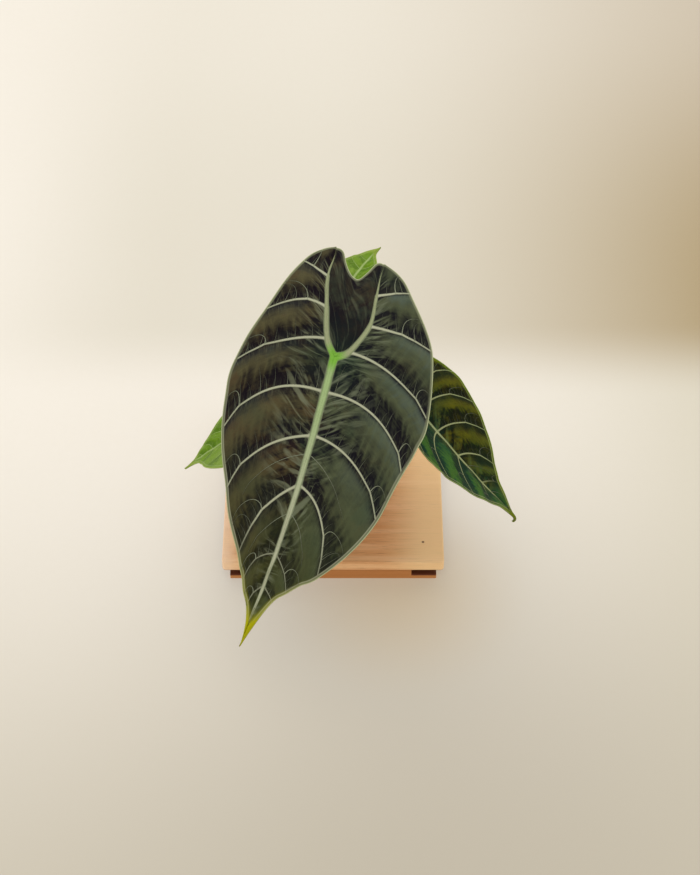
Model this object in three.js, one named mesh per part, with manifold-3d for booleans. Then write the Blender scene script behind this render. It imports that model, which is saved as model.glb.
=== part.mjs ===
// Potted Alocasia watsoniana on a low wooden stand. Millimetres, +Z up, the front is -Y.
// The origin is the middle of the stand's underside, on the pot's axis.
import * as THREE from 'three';
import Module from 'manifold-3d';
import { mergeVertices } from 'three/addons/utils/BufferGeometryUtils.js';

// Driving dimensions
const gap = 0.3;
const standSize = { width: 200, depth: 200, board: 11.5, rail: 14.5, bevel: 1, corner: 2.5 };
const railSize = { deep: 34, long: 187, step: 5.5, topLong: 142, setBack: 2 };
const potSize = { height: 84, topRadius: 50, baseRadius: 33, band: 16, bandStep: 3, lip: 1.5 };
const potWall = { thickness: 4.5, floor: 5, drainRadius: 6, sides: 48 };
const soilSize = { belowRim: 9, rings: 7, mound: 3, coarse: 0.96, fine: 0.64, calmFrom: 0.8, level: 0.01 };
const stemSize = { foot: 34, sides: 12, steps: 13, holeMargin: 0.35 };

// Shares of a stalk's length: its sheath thins, its groove closes, and it narrows and flares at the top
const stalkShape = {
  sheath: [0.3, 0.62], neck: [0.62, 0.9], flareFrom: 0.93, flare: 0.14, groove: [0.4, 0.7], grooveDepth: 0.3,
  grooveSharpness: 6, approach: 16,
};
// Flat points this close are one point; the offset keeps round values away from a rounding edge
const snap = { step: 0.01, offset: 0.2 };
const weldReach = 1e-4;
const bladeSheet = {
  thickness: 1, margin: 0.7, tipCurlLength: 11, lobeLean: 1.2, calmWidth: 12, ribTaper: 0.75,
  lateralRib: 0.35, ripplePhase: 0.6, quiltPeak: 0.75, innerPeak: 0.8,
};

const boardTop = standSize.rail + standSize.board;
const potTop = boardTop + potSize.height;
const soilTop = potTop - soilSize.belowRim;

// A blade's form in the flat: x runs from the leaf stalk's knot to the drip tip, y to the blade's
// right. Each row is one lateral vein from its root on a main rib, past a bend, to the margin.
// Rows go from a basal lobe to the tip; plain rows shape the outline and carry no vein.
const kneeRow = 5;
const broadForm = {
  sinus: [[-86, -19], [-77, -13], [-70, -6], [-69, 1], [-77, 7], [-87, 12.5]],
  right: [
    { root: [-88, 20], bend: [-88, 20], edge: [-88, 20], plain: true },
    { root: [-77, 20], bend: [-81, 29], edge: [-83, 36], plain: true },
    { root: [-60, 22], bend: [-66, 34], edge: [-72, 50] },
    { root: [-34, 24], bend: [-39, 54], edge: [-33, 83] },
    { root: [-8, 12], bend: [-13, 58], edge: [21, 95] },
    { root: [0, 0], bend: [2, 60], edge: [46, 92], plain: true },
    { root: [30, 0], bend: [18, 61], edge: [70, 85.5] },
    { root: [67, 0], bend: [62, 50], edge: [114, 76] },
    { root: [90, 0], bend: [100, 36], edge: [146, 63], plain: true },
    { root: [110, 0], bend: [114, 36], edge: [178, 43] },
    { root: [148, 0], bend: [158, 24], edge: [189, 32], plain: true },
    { root: [173, 0], bend: [181, 14], edge: [202, 21.8] },
    { root: [204, 0], bend: [209, 9], edge: [215, 12.8] },
    { root: [236, 0], bend: [241, 3.4], edge: [245, 4.4], plain: true },
    { root: [266, 0], bend: [266, 0], edge: [266, 0], plain: true },
  ],
  left: [
    { root: [-87, -26], bend: [-87, -26], edge: [-87, -26], plain: true },
    { root: [-77, -25], bend: [-79, -32], edge: [-81, -37], plain: true },
    { root: [-61, -25], bend: [-64, -37], edge: [-66, -50.5] },
    { root: [-36, -18], bend: [-42, -40], edge: [-15, -71] },
    { root: [-12, -10], bend: [-5, -46], edge: [34, -86] },
    { root: [0, 0], bend: [14, -58], edge: [62, -85], plain: true },
    { root: [30, 0], bend: [31, -58], edge: [92, -80] },
    { root: [67, 0], bend: [86, -52], edge: [138, -60] },
    { root: [90, 0], bend: [112, -44], edge: [162, -47], plain: true },
    { root: [110, 0], bend: [135, -30], edge: [187, -31] },
    { root: [148, 0], bend: [164, -24], edge: [198, -24], plain: true },
    { root: [173, 0], bend: [177, -19], edge: [208, -19] },
    { root: [204, 0], bend: [211, -8], edge: [228, -8] },
    { root: [236, 0], bend: [239, -2], edge: [243, -3], plain: true },
    { root: [266, 0], bend: [266, 0], edge: [266, 0], plain: true },
  ],
};
// The rear leaf has the broad form, but is fuller on its right towards the tip.
const fullerEdges = { 10: [190, 38.5], 11: [204, 32.5], 12: [219, 23.5], 13: [244, 12] };
const fullForm = {
  ...broadForm,
  right: broadForm.right.map((row, i) => (fullerEdges[i] ? { ...row, edge: fullerEdges[i] } : row)),
};
const narrowForm = {
  sinus: [[-44, -11], [-40, -7], [-36, -3], [-36, 2], [-40, 5], [-45, 8]],
  right: [
    { root: [-47, 14], bend: [-47, 14], edge: [-47, 14], plain: true },
    { root: [-40, 13], bend: [-43, 20], edge: [-44, 25], plain: true },
    { root: [-32, 14], bend: [-36, 25], edge: [-37, 37] },
    { root: [-18, 15], bend: [-20, 35], edge: [-15, 51] },
    { root: [-4, 7], bend: [-10, 42], edge: [16, 62] },
    { root: [0, 0], bend: [3, 36], edge: [32, 60], plain: true },
    { root: [4.5, 0], bend: [8, 37], edge: [47, 56] },
    { root: [28, 0], bend: [35, 29], edge: [70, 44] },
    { root: [56, 0], bend: [65, 19], edge: [94, 24] },
    { root: [74, 0], bend: [84, 9], edge: [101, 18], plain: true },
    { root: [90, 0], bend: [96, 10], edge: [109, 14] },
    { root: [110, 0], bend: [116, 5], edge: [122, 8], plain: true },
    { root: [130, 0], bend: [133, 2], edge: [135, 2.5], plain: true },
    { root: [143, 0], bend: [143.5, 0.8], edge: [144, 1], plain: true },
    { root: [150, 0], bend: [150, 0], edge: [150, 0], plain: true },
  ],
  left: [
    { root: [-47, -17], bend: [-47, -17], edge: [-47, -17], plain: true },
    { root: [-40, -15], bend: [-42, -20], edge: [-44, -26], plain: true },
    { root: [-32, -13], bend: [-35, -22], edge: [-35, -34] },
    { root: [-19, -10], bend: [-24, -27], edge: [-11, -46] },
    { root: [-6, -5], bend: [-4, -36], edge: [20, -54] },
    { root: [0, 0], bend: [5, -36], edge: [30, -54], plain: true },
    { root: [4.5, 0], bend: [8, -36], edge: [39, -52], plain: true },
    { root: [28, 0], bend: [17, -34], edge: [49, -49] },
    { root: [56, 0], bend: [58, -23], edge: [80, -33] },
    { root: [74, 0], bend: [80, -16], edge: [94, -24], plain: true },
    { root: [90, 0], bend: [96, -13], edge: [107, -15] },
    { root: [110, 0], bend: [114, -6], edge: [119, -8], plain: true },
    { root: [130, 0], bend: [132, -2], edge: [134, -3], plain: true },
    { root: [143, 0], bend: [143.5, -0.8], edge: [144, -1], plain: true },
    { root: [150, 0], bend: [150, 0], edge: [150, 0], plain: true },
  ],
};

// Each leaf: where its knot is, the way it points and slopes down, in degrees, how far it droops on
// towards the tip and lifts at the lobes, and how its two halves fold up and curl at the margins.
const leafPlaces = {
  front: {
    form: broadForm, long: 1, wide: 1, knot: [2.5, -60, 249], heading: -119, slope: 37.5, droop: 26,
    lift: 16, roll: 0, fold: { right: 9, left: 9 }, curl: -14, bow: 11, bulge: 2.6, wave: 0.9,
    rib: 3.2, tipCurl: 0, rowCuts: 3, columns: [0, 0.05, 0.2, 0.4, 0.6, 0.8, 0.93, 1], inner: 7,
  },
  right: {
    form: narrowForm, long: 1, wide: 1, knot: [71, -52, 179], heading: -22, slope: 35, droop: 24,
    lift: 14, roll: -4, fold: { right: 13, left: 25 }, curl: -12, bow: -9.5, bulge: 1.6, wave: 0.4,
    rib: 2.2, tipCurl: 75, rowCuts: 2, columns: [0, 0.07, 0.25, 0.5, 0.75, 0.92, 1], inner: 7,
  },
  left: {
    form: broadForm, long: 0.45, wide: 0.52, knot: [-47, -46, 163.5], heading: 174, slope: 33.5,
    droop: 20, lift: 12, roll: -1.5, fold: { right: 13.5, left: 13.5 }, curl: -10, bow: 2.3,
    bulge: 1.1, wave: 0.2, rib: 1.6, tipCurl: 0, rowCuts: 2, columns: [0, 0.08, 0.35, 0.65, 0.9, 1],
    inner: 7,
  },
  back: {
    form: fullForm, long: 0.45, wide: 0.48, knot: [-2.5, 44, 183], heading: 67, slope: -6.5,
    droop: 20, lift: 12, roll: -3.5, fold: { right: 9, left: 9.5 }, curl: -10, bow: 4, bulge: 1.1,
    wave: 0.2, rib: 1.6, tipCurl: 0, rowCuts: 2, columns: [0, 0.08, 0.35, 0.65, 0.9, 1], inner: 7,
  },
};

// Each leaf stalk: where it leaves the soil, a point that it bows through, and its radii.
const stemPlaces = {
  front: { foot: [1, -12], bowTo: [0, -26, 168], base: 7, middle: 4.6, top: 4.2 },
  right: { foot: [14, 1], bowTo: [38, -17, 143], base: 5.6, middle: 3.6, top: 3.1 },
  left: { foot: [-13, -1], bowTo: [-25, -16, 134], base: 5, middle: 3.2, top: 2.7 },
  back: { foot: [0, 13], bowTo: [1, 21, 140], base: 5, middle: 3, top: 2.6 },
};

const wood = new THREE.MeshStandardMaterial({ color: 0xd7a573, roughness: 0.62, metalness: 0 });
const terracotta = new THREE.MeshStandardMaterial({ color: 0xb5683f, roughness: 0.88, metalness: 0 });
const earth = new THREE.MeshStandardMaterial({ color: 0x3a2a1e, roughness: 0.97, metalness: 0 });
const stalk = new THREE.MeshStandardMaterial({ color: 0x8fae55, roughness: 0.5, metalness: 0 });
const darkBlade = new THREE.MeshStandardMaterial({ color: 0x2f3a2c, roughness: 0.42, metalness: 0 });
const youngBlade = new THREE.MeshStandardMaterial({ color: 0x6f9a2a, roughness: 0.45, metalness: 0 });

const object = new THREE.Group();

function addPiece(name, geometry, material) {
  const mesh = new THREE.Mesh(geometry, material);
  mesh.name = name;
  object.add(mesh);
  return mesh;
}

const wasm = await Module();
wasm.setup();

// A closed mesh with shared vertices, and no triangle that has two corners in one place
function welded(geometry) {
  const plain = geometry.clone();
  plain.deleteAttribute('normal');
  plain.deleteAttribute('uv');
  const merged = mergeVertices(plain, weldReach);
  const index = merged.index.array;
  const kept = [];
  for (let i = 0; i < index.length; i += 3) {
    const [a, b, c] = [index[i], index[i + 1], index[i + 2]];
    if (a !== b && b !== c && c !== a) kept.push(a, b, c);
  }
  merged.setIndex(kept);
  return merged;
}

function toSolid(geometry) {
  const merged = welded(geometry);
  const vertProperties = Float32Array.from(merged.attributes.position.array);
  const triVerts = Uint32Array.from(merged.index.array);
  return new wasm.Manifold(new wasm.Mesh({ numProp: 3, vertProperties, triVerts }));
}

function fromSolid(solid) {
  const mesh = solid.getMesh();
  const geometry = new THREE.BufferGeometry();
  geometry.setAttribute('position', new THREE.BufferAttribute(mesh.vertProperties, 3));
  geometry.setIndex(new THREE.BufferAttribute(mesh.triVerts, 1));
  return geometry;
}

function meshOf(points, triangles) {
  const geometry = new THREE.BufferGeometry();
  geometry.setAttribute('position', new THREE.Float32BufferAttribute(points.flat(), 3));
  geometry.setIndex(triangles.flat());
  return geometry;
}

// Wooden stand: a board on three rails that run along it underneath
function slab(width, depth, height, bottom) {
  const { bevel, corner } = standSize;
  const halfX = width / 2 - bevel;
  const halfY = depth / 2 - bevel;
  const outline = new THREE.Shape();
  outline.moveTo(-halfX + corner, -halfY);
  outline.lineTo(halfX - corner, -halfY);
  outline.quadraticCurveTo(halfX, -halfY, halfX, -halfY + corner);
  outline.lineTo(halfX, halfY - corner);
  outline.quadraticCurveTo(halfX, halfY, halfX - corner, halfY);
  outline.lineTo(-halfX + corner, halfY);
  outline.quadraticCurveTo(-halfX, halfY, -halfX, halfY - corner);
  outline.lineTo(-halfX, -halfY + corner);
  outline.quadraticCurveTo(-halfX, -halfY, -halfX + corner, -halfY);
  const geometry = new THREE.ExtrudeGeometry(outline, {
    depth: height - 2 * bevel,
    bevelThickness: bevel,
    bevelSize: bevel,
    bevelSegments: 2,
    curveSegments: 3,
  });
  geometry.translate(0, 0, bottom + bevel);
  return geometry;
}

// A rail whose two ends are cut down to a low step, as it is seen from the front
function railGeometry() {
  const { bevel, rail } = standSize;
  const { deep, step } = railSize;
  const [end, shoulder] = [railSize.long / 2, railSize.topLong / 2];
  const corners = [
    [-end, 0], [end, 0], [end, step], [shoulder, step], [shoulder, rail], [-shoulder, rail],
    [-shoulder, step], [-end, step],
  ];
  const outline = new THREE.Shape(corners.map(([x, z]) => new THREE.Vector2(x, z)));
  const geometry = new THREE.ExtrudeGeometry(outline, {
    depth: deep - 2 * bevel,
    bevelThickness: bevel,
    bevelSize: bevel,
    bevelOffset: -bevel,
    bevelSegments: 2,
  });
  geometry.translate(0, 0, bevel - deep / 2);
  return geometry.rotateX(Math.PI / 2);
}

function addStand() {
  const { width, depth, board, rail } = standSize;
  addPiece('stand_board', slab(width, depth, board, rail), wood);
  const reach = depth / 2 - railSize.setBack - railSize.deep / 2;
  const rails = { front: -reach, middle: 0, rear: reach };
  for (const [name, y] of Object.entries(rails)) {
    addPiece(`stand_rail_${name}`, railGeometry().translate(0, y, 0), wood);
  }
}

// Radius of the pot's tapered outer wall at a height above its base
function potRadius(height) {
  const share = height / (potSize.height - potSize.band);
  return THREE.MathUtils.lerp(potSize.baseRadius, potSize.topRadius - potSize.bandStep, share);
}

// A closed outline of radius and height turned about the pot's axis
function turned(outline, bottom) {
  const profile = outline.map(([radius, height]) => new THREE.Vector2(radius, height));
  const geometry = new THREE.LatheGeometry(profile, potWall.sides);
  geometry.rotateX(Math.PI / 2);
  geometry.translate(0, 0, bottom);
  return geometry;
}

function addPot() {
  const { height, topRadius, band, baseRadius, lip } = potSize;
  const { thickness, floor, drainRadius } = potWall;
  const bandFoot = height - band;
  const outline = [
    [drainRadius, 0],
    [baseRadius - lip, 0],
    [baseRadius, lip],
    [potRadius(bandFoot), bandFoot],
    [topRadius - lip / 2, bandFoot + lip],
    [topRadius, height - lip],
    [topRadius - lip, height],
    [topRadius - thickness - lip / 2, height],
    [topRadius - thickness - lip, height - lip],
    [potRadius(bandFoot) - thickness, bandFoot],
    [potRadius(floor) - thickness, floor],
    [drainRadius, floor],
    [drainRadius, 0],
  ];
  addPiece('pot', welded(turned(outline, boardTop)), terracotta);
}

// Points of a stalk's surface: rings round a smooth path, with a sheath groove that faces the crown
function stalkPath(name) {
  const place = stemPlaces[name];
  const top = stalkTop(name);
  const foot = new THREE.Vector3(place.foot[0], place.foot[1], soilTop);
  const buried = foot.clone().setZ(soilTop - stemSize.foot);
  const approach = top.point.clone().addScaledVector(top.up, -stalkShape.approach);
  return new THREE.CatmullRomCurve3(
    [buried, foot, new THREE.Vector3(...place.bowTo), approach, top.point], false, 'centripetal');
}

function stalkRadius(place, share) {
  const { smoothstep, lerp } = THREE.MathUtils;
  const lower = lerp(place.base, place.middle, smoothstep(share, ...stalkShape.sheath));
  const radius = lerp(lower, place.top, smoothstep(share, ...stalkShape.neck));
  return radius * (1 + stalkShape.flare * smoothstep(share, stalkShape.flareFrom, 1));
}

function stalkGeometry(name, margin) {
  const place = stemPlaces[name];
  const path = stalkPath(name);
  const inward = new THREE.Vector3(-place.foot[0], -place.foot[1], 0).normalize();
  const points = [];
  const triangles = [];
  const { steps, sides } = stemSize;
  for (let step = 0; step <= steps; step += 1) {
    const share = step / steps;
    const centre = path.getPointAt(share);
    const along = path.getTangentAt(share);
    const toCrown = inward.clone().addScaledVector(along, -inward.dot(along)).normalize();
    const across = along.clone().cross(toCrown);
    const open = 1 - THREE.MathUtils.smoothstep(share, ...stalkShape.groove);
    const groove = margin ? 0 : open * stalkShape.grooveDepth;
    if (margin && step === 0) centre.addScaledVector(along, -margin);
    for (let side = 0; side < sides; side += 1) {
      const turn = (side / sides) * 2 * Math.PI;
      const dent = 1 - groove * Math.max(0, Math.cos(turn)) ** stalkShape.grooveSharpness;
      const radius = stalkRadius(place, share) * dent + margin;
      const point = centre.clone().addScaledVector(toCrown, Math.cos(turn) * radius);
      point.addScaledVector(across, Math.sin(turn) * radius);
      points.push(point.toArray());
    }
  }
  const ring = (step, side) => step * sides + (side % sides);
  for (let step = 0; step < steps; step += 1) {
    for (let side = 0; side < sides; side += 1) {
      triangles.push([ring(step, side), ring(step, side + 1), ring(step + 1, side + 1)]);
      triangles.push([ring(step, side), ring(step + 1, side + 1), ring(step + 1, side)]);
    }
  }
  for (const [step, flip] of [[0, true], [steps, false]]) {
    const centre = path.getPointAt(step / steps);
    if (margin && step === 0) centre.addScaledVector(path.getTangentAt(0), -margin);
    points.push(centre.toArray());
    const middle = points.length - 1;
    for (let side = 0; side < sides; side += 1) {
      const rim = [ring(step, side), ring(step, side + 1)];
      triangles.push(flip ? [middle, rim[1], rim[0]] : [middle, rim[0], rim[1]]);
    }
  }
  return meshOf(points, triangles);
}

// Potting mix: a low mound with lumps, in the pot, with a plain hole for each stalk
function lumpHeight(x, y) {
  const coarse = Math.sin(0.41 * x + 1.3) * Math.cos(0.37 * y - 0.6);
  const fine = Math.sin(0.93 * x - 0.8 * y + 2.1) * Math.cos(0.71 * x + 0.97 * y);
  return soilSize.coarse * coarse + soilSize.fine * fine;
}

function addSoil() {
  const { floor, thickness } = potWall;
  const bandFoot = potSize.height - potSize.band;
  const top = potSize.height - soilSize.belowRim;
  const bandInside = potSize.topRadius - thickness - potSize.lip;
  const slope = (bandInside - potRadius(bandFoot) + thickness) / (potSize.band - potSize.lip);
  const rim = potRadius(bandFoot) - thickness + slope * (top - bandFoot) - gap;
  const outline = [
    [0, floor],
    [potRadius(floor) - thickness - gap, floor],
    [potRadius(bandFoot) - thickness - gap, bandFoot],
    [rim, top],
  ];
  for (let ring = 1; ring <= soilSize.rings; ring += 1) {
    const share = 1 - ring / soilSize.rings;
    outline.push([rim * share, top + soilSize.mound * (1 - share * share)]);
  }
  const geometry = welded(turned(outline, boardTop));
  const position = geometry.attributes.position;
  for (let i = 0; i < position.count; i += 1) {
    const [x, y, z] = [position.getX(i), position.getY(i), position.getZ(i)];
    const fade = 1 - THREE.MathUtils.smoothstep(Math.hypot(x, y), soilSize.calmFrom * rim, rim);
    if (z > soilTop + soilSize.level) position.setZ(i, z + fade * lumpHeight(x, y));
  }
  let solid = toSolid(geometry);
  for (const name of Object.keys(stemPlaces)) {
    solid = solid.subtract(toSolid(stalkGeometry(name, stemSize.holeMargin)));
  }
  addPiece('soil', fromSolid(solid), earth);
}

// Smooth curve through rows of flat points, at a row number that may lie between two rows
function through(points, at) {
  const last = points.length - 1;
  const clamped = THREE.MathUtils.clamp(at, 0, last);
  const low = Math.min(Math.floor(clamped), last - 1);
  const share = clamped - low;
  const near = (step) => points[THREE.MathUtils.clamp(low + step, 0, last)];
  return [0, 1].map((axis) => {
    const [before, start, end, after] = [near(-1), near(0), near(1), near(2)].map((p) => p[axis]);
    const leave = (end - before) / 2;
    const arrive = (after - start) / 2;
    return start + leave * share + (3 * end - 3 * start - 2 * leave - arrive) * share ** 2
      + (2 * start - 2 * end + leave + arrive) * share ** 3;
  });
}

// A leaf's flat form at its own size, with its whole margin as one list of points
function sizedForm(place) {
  const scale = ([along, across]) => [along * place.long, across * place.wide];
  const sizeRow = (row) => ({
    root: scale(row.root), bend: scale(row.bend), edge: scale(row.edge), plain: Boolean(row.plain),
  });
  const right = place.form.right.map(sizeRow);
  const left = place.form.left.map(sizeRow);
  const sinus = place.form.sinus.map(scale);
  const margin = [...left.map((row) => row.edge).reverse(), ...sinus, ...right.map((row) => row.edge)];
  const halfWidth = Math.max(...right.map((row) => row.edge[1]));
  return { right, left, sinus, margin, length: right.at(-1).root[0], lobe: -right[0].root[0], halfWidth };
}

function ribPoint(rows, at) {
  const roots = rows.map((row) => row.root);
  if (at <= kneeRow) return through(roots.slice(0, kneeRow + 1), at);
  return through(roots.slice(kneeRow), at - kneeRow);
}

// Flat point on a half: at is the row number, share runs from the main rib to the margin
function halfPoint(form, side, at, share) {
  const rows = form[side];
  const root = ribPoint(rows, at);
  const marginAt = side === 'right' ? rows.length + form.sinus.length + at : rows.length - 1 - at;
  const edge = through(form.margin, marginAt);
  const bows = rows.map((row) => row.bend.map((value, i) => value - (row.root[i] + row.edge[i]) / 2));
  const bow = through(bows, at);
  return root.map((start, i) => {
    const bend = (start + edge[i]) / 2 + bow[i];
    return (1 - share) ** 2 * start + 2 * share * (1 - share) * bend + share ** 2 * edge[i];
  });
}

// Flat point between the two basal ribs: reach runs from the knot to the sinus, across left to right
function innerPoint(form, reach, across) {
  const at = kneeRow * (1 - reach);
  const ribs = [ribPoint(form.left, at), ribPoint(form.right, at)];
  const firstSinus = form.left.length - 1;
  const edges = [through(form.margin, firstSinus), through(form.margin, firstSinus + form.sinus.length + 1)];
  const edge = through(form.margin, firstSinus + across * (form.sinus.length + 1));
  const shares = ribs.map((rib, i) => {
    const end = edges[i];
    return (rib[0] * end[0] + rib[1] * end[1]) / (end[0] ** 2 + end[1] ** 2);
  });
  const weights = [1 - across, across];
  const share = weights[0] * shares[0] + weights[1] * shares[1];
  return [0, 1].map((axis) => share * edge[axis]
    + weights[0] * (ribs[0][axis] - shares[0] * edges[0][axis])
    + weights[1] * (ribs[1][axis] - shares[1] * edges[1][axis]));
}

// Vein count along a half: whole at each vein, a half more in the middle between two
function veinPhase(rows, at) {
  const phases = [];
  let count = 0;
  for (const row of rows) {
    if (!row.plain) count += 1;
    phases.push(row.plain ? count + 0.5 : count);
  }
  const low = Math.min(Math.floor(at), rows.length - 2);
  return THREE.MathUtils.lerp(phases[low], phases[low + 1], at - low);
}

function arch(share) {
  return 4 * share * (1 - share);
}

// The blade's middle line in space, a step each millimetre, with its slope at each step
function middleLine(place, form) {
  const toRadians = THREE.MathUtils.degToRad;
  const slopeAt = (along) => {
    const bend = along >= 0 ? place.droop * (along / form.length) : place.lift * (along / form.lobe);
    const curl = THREE.MathUtils.clamp((along - form.length) / bladeSheet.tipCurlLength + 1, 0, 1);
    return toRadians(place.slope + bend + place.tipCurl * curl);
  };
  const first = -Math.ceil(form.lobe) - 2;
  const last = Math.ceil(form.length) + 2;
  const samples = new Map([[0, { run: 0, drop: 0 }]]);
  for (const way of [1, -1]) {
    for (let along = way; along >= first && along <= last; along += way) {
      const slope = slopeAt(along - way / 2);
      const before = samples.get(along - way);
      const run = before.run + way * Math.cos(slope);
      samples.set(along, { run, drop: before.drop + way * Math.sin(slope) });
    }
  }
  return (along) => {
    const low = THREE.MathUtils.clamp(Math.floor(along), first, last - 1);
    const [start, end] = [samples.get(low), samples.get(low + 1)];
    const share = along - low;
    return {
      run: THREE.MathUtils.lerp(start.run, end.run, share),
      drop: THREE.MathUtils.lerp(start.drop, end.drop, share),
      slope: slopeAt(along),
    };
  };
}

// Maps a flat point, raised by some height, to its place in space
function bladeShape(place, form) {
  const toRadians = THREE.MathUtils.degToRad;
  const heading = toRadians(place.heading);
  const forward = new THREE.Vector3(Math.cos(heading), Math.sin(heading), 0);
  const upward = new THREE.Vector3(0, 0, 1);
  const middle = middleLine(place, form);
  const roll = toRadians(place.roll);
  return (along, across, raised) => {
    const { run, drop, slope } = middle(along);
    const level = upward.clone().cross(forward);
    const face = forward.clone().multiplyScalar(Math.sin(slope)).addScaledVector(upward, Math.cos(slope));
    const side = level.clone().multiplyScalar(Math.cos(roll)).addScaledVector(face, Math.sin(roll));
    const normal = face.clone().multiplyScalar(Math.cos(roll)).addScaledVector(level, -Math.sin(roll));
    const lean = along < 0
      ? place.bow * Math.PI * bladeSheet.lobeLean * (along / form.length)
      : place.bow * Math.sin(Math.PI * Math.min(along / form.length, 1));
    const sign = across >= 0 ? 1 : -1;
    const fold = toRadians(across >= 0 ? place.fold.right : place.fold.left);
    const curl = toRadians(place.curl) / form.halfWidth;
    const tilt = fold + curl * Math.abs(across);
    const out = (Math.sin(tilt) - Math.sin(fold)) / curl;
    const up = (Math.cos(fold) - Math.cos(tilt)) / curl;
    const point = new THREE.Vector3(...place.knot);
    point.addScaledVector(forward, run).addScaledVector(upward, -drop);
    point.addScaledVector(side, lean + sign * (out - Math.sin(tilt) * raised));
    point.addScaledVector(normal, up + Math.cos(tilt) * raised);
    return point;
  };
}

// Underside of a blade at its knot, where the stalk ends, and the way the blade faces there
function stalkTop(name) {
  const place = leafPlaces[name];
  const shape = bladeShape(place, sizedForm(place));
  const point = shape(0, 0, -(bladeSheet.thickness + place.rib + gap));
  const up = shape(0, 0, 1).sub(shape(0, 0, 0)).normalize();
  return { point, up };
}

// A blade: a sheet whose veins lie in valleys between quilted bulges, with ribs on its underside
function leafGeometry(place) {
  const form = sizedForm(place);
  const shape = bladeShape(place, form);
  const points = [];
  const depths = [];
  const seen = new Map();
  const triangles = [];
  const vertex = (flat, raised, depth) => {
    const key = flat.map((value) => Math.round(value / snap.step + snap.offset)).join();
    if (!seen.has(key)) {
      seen.set(key, points.length);
      points.push(shape(flat[0], flat[1], raised));
      depths.push(depth);
    }
    return seen.get(key);
  };
  const addCell = (a, b, c, d, flip) => {
    for (const corners of [[a, b, c], [a, c, d]]) {
      const [first, second, third] = corners;
      if (first === second || second === third || third === first) continue;
      triangles.push(flip ? [first, third, second] : corners);
    }
  };
  const ribDepth = (along) => {
    const toTip = along > 0 ? along / form.length : -along / form.lobe;
    return place.rib * (1 - bladeSheet.ribTaper * toTip);
  };
  for (const side of ['right', 'left']) {
    const rows = form[side];
    const count = (rows.length - 1) * place.rowCuts;
    const grid = [];
    for (let i = 0; i <= count; i += 1) {
      const at = i / place.rowCuts;
      const phase = veinPhase(rows, at);
      const onVein = i % place.rowCuts === 0 && !rows[at].plain;
      grid.push(place.columns.map((share, column) => {
        const flat = halfPoint(form, side, at, share);
        const quilt = place.bulge * Math.sin(Math.PI * phase) ** 2 * arch(share ** bladeSheet.quiltPeak);
        const ripple = place.wave * share ** 3 * Math.cos(2 * Math.PI * phase + bladeSheet.ripplePhase);
        const narrow = Math.min(1, Math.abs(flat[1]) / bladeSheet.calmWidth);
        let depth = bladeSheet.thickness;
        if (column === 0) depth += ribDepth(flat[0]);
        if (column > 0 && onVein) depth += bladeSheet.lateralRib * place.rib * (1 - share);
        if (column === place.columns.length - 1) depth = bladeSheet.margin;
        return vertex(flat, quilt - ripple * narrow, depth);
      }));
    }
    for (let i = 0; i < count; i += 1) {
      for (let j = 0; j < place.columns.length - 1; j += 1) {
        addCell(grid[i][j], grid[i + 1][j], grid[i + 1][j + 1], grid[i][j + 1], side === 'left');
      }
    }
  }
  const rings = kneeRow * place.rowCuts;
  const inner = [];
  for (let i = 0; i <= rings; i += 1) {
    const reach = i / rings;
    inner.push([...Array(place.inner + 1).keys()].map((j) => {
      const across = j / place.inner;
      const quilt = place.bulge * Math.sin(Math.PI * across) ** 2 * arch(reach ** bladeSheet.innerPeak);
      const depth = i === rings ? bladeSheet.margin : bladeSheet.thickness;
      return vertex(innerPoint(form, reach, across), quilt, depth);
    }));
  }
  for (let i = 0; i < rings; i += 1) {
    for (let j = 0; j < place.inner; j += 1) {
      addCell(inner[i][j], inner[i + 1][j], inner[i + 1][j + 1], inner[i][j + 1], true);
    }
  }
  return thickened(points, depths, triangles);
}

// Closes a sheet into a solid: the same triangles on both faces and a wall round the margin
function thickened(points, depths, triangles) {
  const normals = points.map(() => new THREE.Vector3());
  const boundary = new Map();
  for (const corners of triangles) {
    const [a, b, c] = corners.map((i) => points[i]);
    const normal = b.clone().sub(a).cross(c.clone().sub(a));
    corners.forEach((corner, i) => {
      normals[corner].add(normal);
      const next = corners[(i + 1) % 3];
      if (!boundary.delete(`${next},${corner}`)) boundary.set(`${corner},${next}`, [corner, next]);
    });
  }
  const lower = points.map((point, i) => point.clone().addScaledVector(normals[i].normalize(), -depths[i]));
  const count = points.length;
  const faces = [...triangles];
  for (const [a, b, c] of triangles) faces.push([a + count, c + count, b + count]);
  for (const [a, b] of boundary.values()) {
    faces.push([b, a, a + count]);
    faces.push([b, a + count, b + count]);
  }
  return meshOf([...points, ...lower].map((point) => point.toArray()), faces);
}

addStand();
addPot();
addSoil();
for (const name of Object.keys(leafPlaces)) {
  addPiece(`stalk_${name}`, stalkGeometry(name, 0), stalk);
  const material = name === 'front' || name === 'right' ? darkBlade : youngBlade;
  addPiece(`leaf_${name}`, leafGeometry(leafPlaces[name]), material);
}

export default object;
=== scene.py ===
import math

import bpy
import numpy as np
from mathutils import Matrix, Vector, kdtree, noise


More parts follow.
